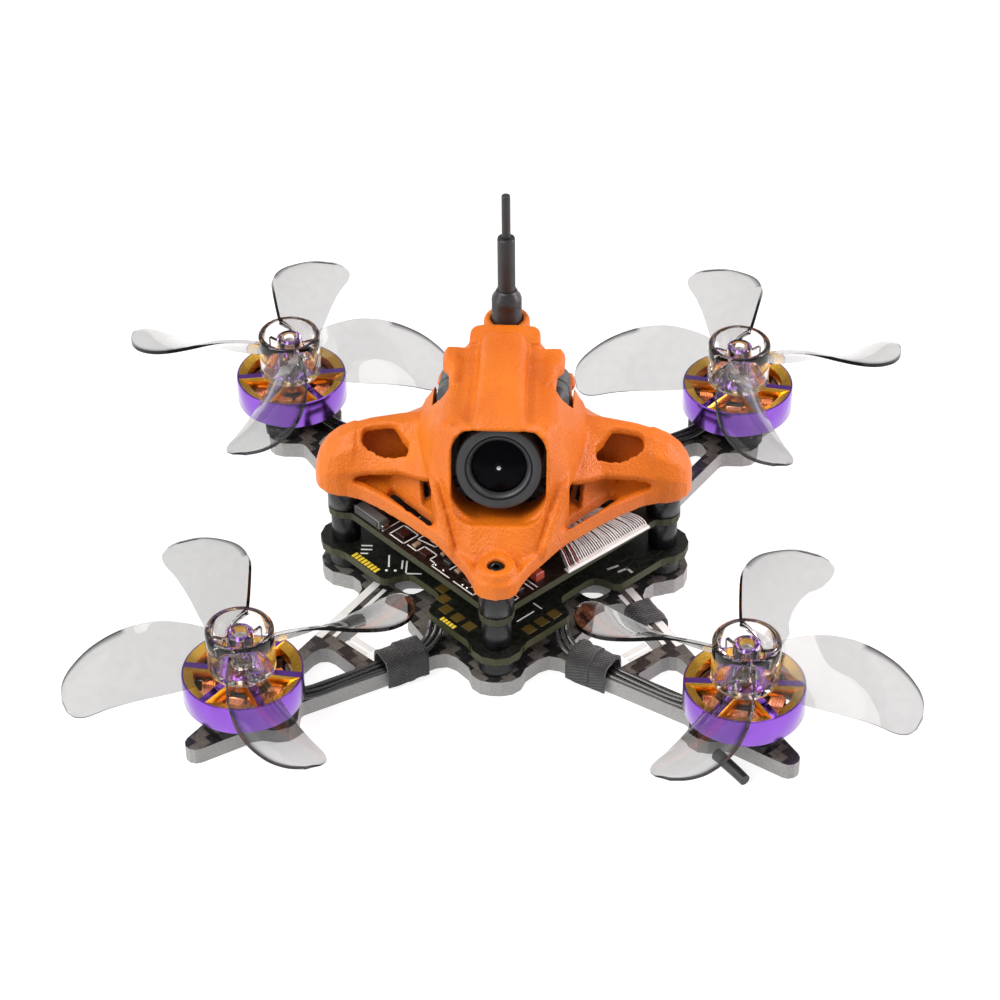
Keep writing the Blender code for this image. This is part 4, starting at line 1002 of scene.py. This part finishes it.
UPPER_PARTS = [
    # along, inward, width, depth, height, material
    (17.3, 1.8, 1.5, 1.3, 0.35, 1), (13.1, 1.3, 1.3, 0.9, 0.3, 1), (10.1, 2.5, 1.1, 1.4, 0.4, 3),
    (6.3, 1.7, 1.2, 0.8, 0.3, 1), (8.3, 2.2, 0.7, 1.1, 0.3, 4), (11.6, 2.9, 0.6, 0.9, 0.3, 4),
    (14.9, 1.6, 0.6, 0.9, 0.3, 4), (16.9, 4.7, 1.9, 1.5, 0.5, 3), (12.9, 5.6, 2.6, 1.6, 0.5, 3),
    (8.9, 5.4, 2.4, 1.8, 0.6, 3), (5.6, 4.3, 1.1, 1.3, 0.4, 1), (20.9, 3.5, 1.3, 1.5, 0.4, 1),
]
UPPER_JOINTS = [
    # first, last, count, size
    ((4.9, 3.1), (8.9, 4.9), 15, 0.09), ((9.6, 0.95), (10.9, 0.95), 2, 0.2),
    ((5.6, 0.85), (6.3, 0.85), 2, 0.2), ((15.8, 4), (15.8, 5.6), 5, 0.11),
]
UPPER_RIGHT_TRACES = [
    [(2.4, 0.5), (3.8, 0.5), (3.8, 1.9), (2.6, 1.9)], [(5.9, 0.45), (5.9, 3.4)], [(6.5, 0.45), (6.5, 3.4)],
    [(4.4, 2.6), (5.3, 2.6), (5.3, 3.8)],
]


def dots(build, first, last, count, size, number, matrix):
    """Row of small solder joints."""
    profile = [(0.02, size * 0.6), (size * 0.6, size * 0.5), (size, 0.03), (size, -0.02)]
    for k in range(count):
        p = Vector(first).lerp(Vector(last), k / (count - 1))
        build.lathe(profile, 10, number, matrix @ move(p.x, p.y))


def small_parts(build, rng, matrix, first, last, row, numbers):
    """Row of chips and other small parts along a board's edge."""
    x = first
    while x < last:
        w, d = rng.uniform(0.8, 2.2), rng.uniform(0.8, 1.8)
        build.block((x + w / 2, row + d / 2, 0.25), (w * 0.85, d, 0.5), rng.choice(numbers), matrix=matrix)
        x += w + 0.45


def make_upper_details():
    rng = random.Random(5)
    build = Build()
    m = edge_frame(UPPER_BOARD_SIDE, -1, UPPER_BOARD_TOP)
    for trace in UPPER_TRACES:
        ink(build, trace, 0.14, m)
    for x, y, width, depth, height, number in UPPER_PARTS:
        build.block((x, y, height / 2), (width, depth, height), number, matrix=m)
    for first, last, count, size in UPPER_JOINTS:
        dots(build, first, last, count, size, 2, m)
    build.block((21.9, 0.95, 0.55), (4.3, 1.3, 1.1), 5, matrix=m, bevel=0.12)
    build.block((21.9, 0.28, 0.55), (3.6, 0.2, 0.7), 3, matrix=m, bevel=0.05)
    for side in (-1, 1):
        build.block((21.9 + side * 2.35, 0.95, 0.3), (0.4, 0.9, 0.6), 2, matrix=m, bevel=0.06)
    for k in range(9):
        build.block((20.1 + k * 0.45, 1.85, 0.1), (0.2, 0.6, 0.2), 2, matrix=m, bevel=0.03)
    m = edge_frame(UPPER_BOARD_SIDE, 1, UPPER_BOARD_TOP)
    for trace in UPPER_RIGHT_TRACES:
        ink(build, trace, 0.14, m)
    build.block((7.6, 2.6, 0.5), (1.2, 3, 1), 6, matrix=m, bevel=0.1)
    build.block((4.7, 1.4, 0.2), (0.8, 0.8, 0.4), 3, matrix=m)
    small_parts(build, rng, m, 9, 20, 5.2, (1, 3, 3, 4))
    for sign in (-1, 1):
        m = turn(180) @ edge_frame(UPPER_BOARD_SIDE, sign, UPPER_BOARD_TOP)
        ink(build, [(3.4, 0.5), (8.4, 0.5), (8.4, 1.2), (12.6, 1.2), (12.6, 0.5), (22.4, 0.5)], 0.14, m)
        small_parts(build, rng, m, 4.5, 21, 1.7, (1, 3, 4, 3))
        dots(build, (4.6, 1.1), (7.8, 1.1), 6, 0.16, 2, m)
        small_parts(build, rng, m, 5.5, 19.5, 4.6, (3, 1, 3))
    build.show("video_board_details", "upper_board",
               ["print_white", "chip_maroon", "solder", "chip_black", "ceramic", "grey_plastic", "coax_red"])


def hatch(build, first, last, count, depth, number, matrix):
    """Row of narrow pads that lie across a board's edge."""
    pitch = (last - first) / count
    for k in range(count):
        build.block((first + (k + 0.5) * pitch, depth / 2 + 0.12, 0.04), (pitch * 0.7, depth, 0.08), number,
                    matrix=matrix, bevel=0.02)


def pads(build, places, width, matrix):
    for x, y in places:
        build.block((x, y, 0.03), (width, 1.3, 0.06), 1, matrix=matrix, bevel=0.02)


LOWER_TRACES = [
    # plan lines at the front left: width, material, points
    (0.19, 0, [(-12.9, -3.7), (-12.8, -5.6)]), (0.19, 0, [(-11.3, -4.6), (-11.3, -5.9)]),
    (0.19, 0, [(-10.8, -4.7), (-10.8, -6.8), (-9.1, -6.8)]), (0.19, 0, [(-16.1, -2), (-15, -2)]),
    (0.19, 0, [(-16.1, -2.7), (-15, -2.7)]), (0.19, 0, [(-16.1, -3.4), (-15.4, -3.4)]),
    # and at the front right
    (0.3, 5, [(12, -5.2), (13, -4.6)]), (0.3, 5, [(13.2, -5.6), (14.1, -5), (14.6, -5.6)]),
]


def make_lower_details():
    rng = random.Random(8)
    build = Build()
    level = move(0, 0, LOWER_BOARD_TOP)
    left, right = [edge_frame(LOWER_BOARD_SIDE, sign, LOWER_BOARD_TOP) for sign in (-1, 1)]
    hatch(build, 20.2, 24.5, 8, 0.8, 2, left)
    hatch(build, 7, 9.4, 5, 0.55, 2, left)
    pads(build, ((6.2, 1.75), (8.15, 1.75), (10.1, 1.8), (11.6, 2.8), (13, 3.9)), 1.3, left)
    for width, number, trace in LOWER_TRACES:
        ink(build, trace, width, level, number)
    dots(build, (-13, -6.3), (-12, -6.3), 2, 0.18, 0, level)
    pads(build, ((6.2, 1.35), (8.1, 1.35), (10, 1.35)), 1.3, right)
    ink(build, [(6.2, 3.2), (8.6, 3.2)], 0.16, right)
    ink(build, [(9.6, 3), (9.6, 4.2)], 0.16, right)
    for m in (left, right, turn(180) @ left, turn(180) @ right):
        small_parts(build, rng, m, 5, 20, 6.4, (3, 3, 4, 0))
    for m in (turn(180) @ left, turn(180) @ right):
        pads(build, [(5.4 + k * 1.9, 1.3) for k in (0, 1, 2, 3)], 1.2, m)
        ink(build, [(4.6, 2.5), (11, 2.5)], 0.13, m)
    build.show("flight_controller_details", "lower_board",
               ["print_white", "pad_gold", "pad_yellow", "chip_black", "ceramic", "print_grey"])


def make_plate_prints():
    """Stripes and ticks printed on the plate's top, mirrored over its four quarters."""
    build = Build()

    def quad(points, number):
        for sx, sy in QUARTERS:
            outline = [(sx * p.x, sy * p.y) for p in points]
            build.slab([outline], PLATE_TOP - 0.01, PLATE_TOP + 0.02, number)

    def stripe(corner, way, across, near, far, first, last):
        a, b = corner + across * near + way * first, corner + across * near + way * last
        quad([a, b, b + across * (far - near), a + across * (far - near)], 0)

    strut, outward = Vector((0.521, 0.853)), Vector((-0.853, 0.521))
    stripe(Vector((14.5, 3.9)), strut, outward, 0, 0.95, 0.4, 11.6)
    stripe(Vector((14.5, 3.9)), strut, outward, 1.65, 2.15, 0.9, 10.6)
    start, end = Vector((17.3, 14.8)), Vector((14.5, 17.2))
    way = (end - start).normalized()
    for near, far in ((-1.55, -0.85), (-0.5, -0.05)):
        stripe(start, way, Vector((way.y, -way.x)), near, far, 0.2, (end - start).length - 0.2)
    for shift in (0, 1.4):
        p = Vector((13.3, 19.3)) + Vector((0.86, 0.5)) * shift
        quad([p, p + Vector((0.6, 0.35)), p + Vector((0.5, 0.52)), p + Vector((-0.1, 0.17))], 1)
    build.show("plate_prints", "carbon_plate", ["print_white", "print_grey"])


# ---- posts and plates


STACK = [
    # CAD node, piece, half section from the top, outside
    ("lower_damper", "rubber", [
        (1.02, 4.34), (1.95, 4.34), (2.1, 4.2), (2.08, 4), (1.78, 3.5), (1.74, 3.2), (1.78, 2.9),
        (2.08, 2.4), (2.1, 2.2), (1.95, 2.06), (1.02, 2.06)]),
    ("lower_spacer", "tube", [
        (1.02, 9.14), (1.52, 9.14), (1.65, 9), (1.66, 7.3), (1.65, 5.6), (1.52, 5.46), (1.02, 5.46)]),
    ("upper_spacer", "tube", [
        (1.02, 13.24), (1.8, 13.24), (1.95, 13.1), (1.95, 10.3), (1.8, 10.16), (1.02, 10.16)]),
]


def make_stack():
    """Rubber posts with rolled lips, and screws with hexagon sockets."""
    for name, (x, y) in POSTS.items():
        for node, piece, profile in STACK:
            post = Build()
            post.lathe(profile, 40, 0, move(x, y), closed=True)
            post.show(f"{node}_{name}_{piece}", "black_rubber", replaces=[f"{node}_{name}"], sharp=50)
        screw = Build()
        screw.slab([circle(0.85, 24), circle(0.42, 6)], 15.5, 16.2, 0, move(x, y), bevel=0.08)
        shank = [(0, 15.52), (0.85, 15.5), (0.72, 15.3), (0.7, 0.6), (0.6, 0.5), (0, 0.5)]
        screw.lathe(shank, 24, 0, move(x, y))
        screw.show(f"stack_screw_{name}_socket", "dark_steel", replaces=[f"stack_screw_{name}"], sharp=30)


def finish_cad_nodes():
    """The CAD solids that stay get their finish, and a small bevel where edges catch light."""
    finishes = {
        "usb_socket": ("socket_steel", 0),
        "boot_button": ("button_plastic", 0.05), "boot_button_housing": ("button_housing", 0.05),
        "camera_pivot_left": ("dark_steel", 0.0), "camera_pivot_right": ("dark_steel", 0.0),
    }
    for name in MOTORS:
        finishes[f"shaft_{name}"] = ("shaft_steel", 0)
    for name, (key, width) in finishes.items():
        obj = NODES[name]
        obj.data.materials.clear()
        obj.data.materials.append(MATERIALS[key])
        if width:
            break_edges(obj, width)


def make_plates():
    """Cut plates: the CAD outline with smooth sides and a fine break on every edge."""
    for node, name, key, width in (
        ("frame_plate", "frame_plate_cut", "carbon_plate", 0.12),
        ("flight_controller", "flight_controller_board", "lower_board", 0.04),
        ("video_board", "video_board_laminate", "upper_board", 0.04),
    ):
        rough = working_copy(node)
        break_edges(rough, width)
        mesh = applied(rough)
        bpy.data.objects.remove(rough)
        mesh.materials.clear()
        mesh.polygons.foreach_set("use_smooth", [True] * len(mesh.polygons))
        show(name, mesh, "airframe", [key], [node], sharp=28)


# ---- stage and view


def light(data, place=(0, 0, 0), direction=(0, 0, -1)):
    obj = placed(data.name, data)
    obj.location = place
    obj.rotation_euler = Vector(direction).to_track_quat("-Z", "Y").to_euler()


def area_light(name, place, target, size, power, colour=(1, 1, 1)):
    data = bpy.data.lights.new(name, "AREA")
    data.shape = "RECTANGLE"
    data.size, data.size_y = size
    data.energy = power
    data.color = colour
    light(data, place, Vector(target) - Vector(place))


def make_stage():
    """White floor and backdrop, a soft key light from the front left, and three small lamps; metres."""
    scene = bpy.context.scene
    scene.view_settings.view_transform = "Standard"
    world = scene.world = bpy.data.worlds.new("studio")
    world.use_nodes = True
    nodes, links = world.node_tree.nodes, world.node_tree.links
    nodes["Background"].inputs["Color"].default_value = (1, 1, 1, 1)
    # the backdrop shows white above the floor's far edge, and lights the drone at half that
    power = nodes.new("ShaderNodeMapRange")
    power.inputs["To Min"].default_value = 0.5
    power.inputs["To Max"].default_value = 1.2
    links.new(nodes.new("ShaderNodeLightPath").outputs["Is Camera Ray"], power.inputs["Value"])
    links.new(power.outputs[0], nodes["Background"].inputs["Strength"])
    floor = Build()
    floor.add([(-3000, -3000, -0.02), (3000, -3000, -0.02), (3000, 3000, -0.02), (-3000, 3000, -0.02)],
              [(0, 1, 2, 3)])
    mesh = floor.mesh("floor")
    mesh.materials.append(Shader("floor", Base_Color=(0.34, 0.34, 0.34), Roughness=0.9, Specular_IOR_Level=0,
                                 Emission_Color=(1, 1, 1), Emission_Strength=0.78).material)
    placed("floor", mesh)
    sun = bpy.data.lights.new("key", "SUN")
    sun.energy = 2.6
    sun.angle = radians(46)
    sun.color = (1, 0.97, 0.92)
    light(sun, direction=(0.55, 0.32, -0.77))
    area_light("right", (0.42, 0.04, 0.20), (0, 0, 0.015), (0.16, 0.36), 2, (1, 0.86, 0.88))
    area_light("left", (-0.40, -0.16, 0.12), (0, 0, 0.015), (0.08, 0.30), 0.5)
    area_light("top", (0, 0.16, 0.5), (0, 0, 0.01), (0.4, 0.3), 0.3)


def make_view():
    """Camera above the front, a little to the right; degrees and millimetres."""
    elevation, yaw, roll, distance = 38.525, 2.971, -0.588, 352.376
    target = (-0.433, 0, 10.892)
    data = bpy.data.cameras.new("camera")
    data.sensor_width = 36
    data.lens = 112.09
    data.clip_start = 0.01
    data.clip_end = 20
    obj = placed("camera_view", data)
    matrix = move(*target) @ turn(yaw) @ turn(90 - elevation, "X") @ move(0, 0, distance) @ turn(roll)
    matrix.translation *= MM
    obj.matrix_world = matrix
    bpy.context.scene.camera = obj


make_materials()
make_stage()
make_view()
finish_cad_nodes()
make_plates()
make_canopy()
for motor in MOTORS:
    make_bell(motor)
    make_stator(motor)
    make_base(motor)
    make_propeller(motor)
    make_motor_wires(motor)
make_wraps()
make_tail()
make_coax()
make_camera()
make_antenna()
make_upper_details()
make_lower_details()
make_plate_prints()
make_stack()
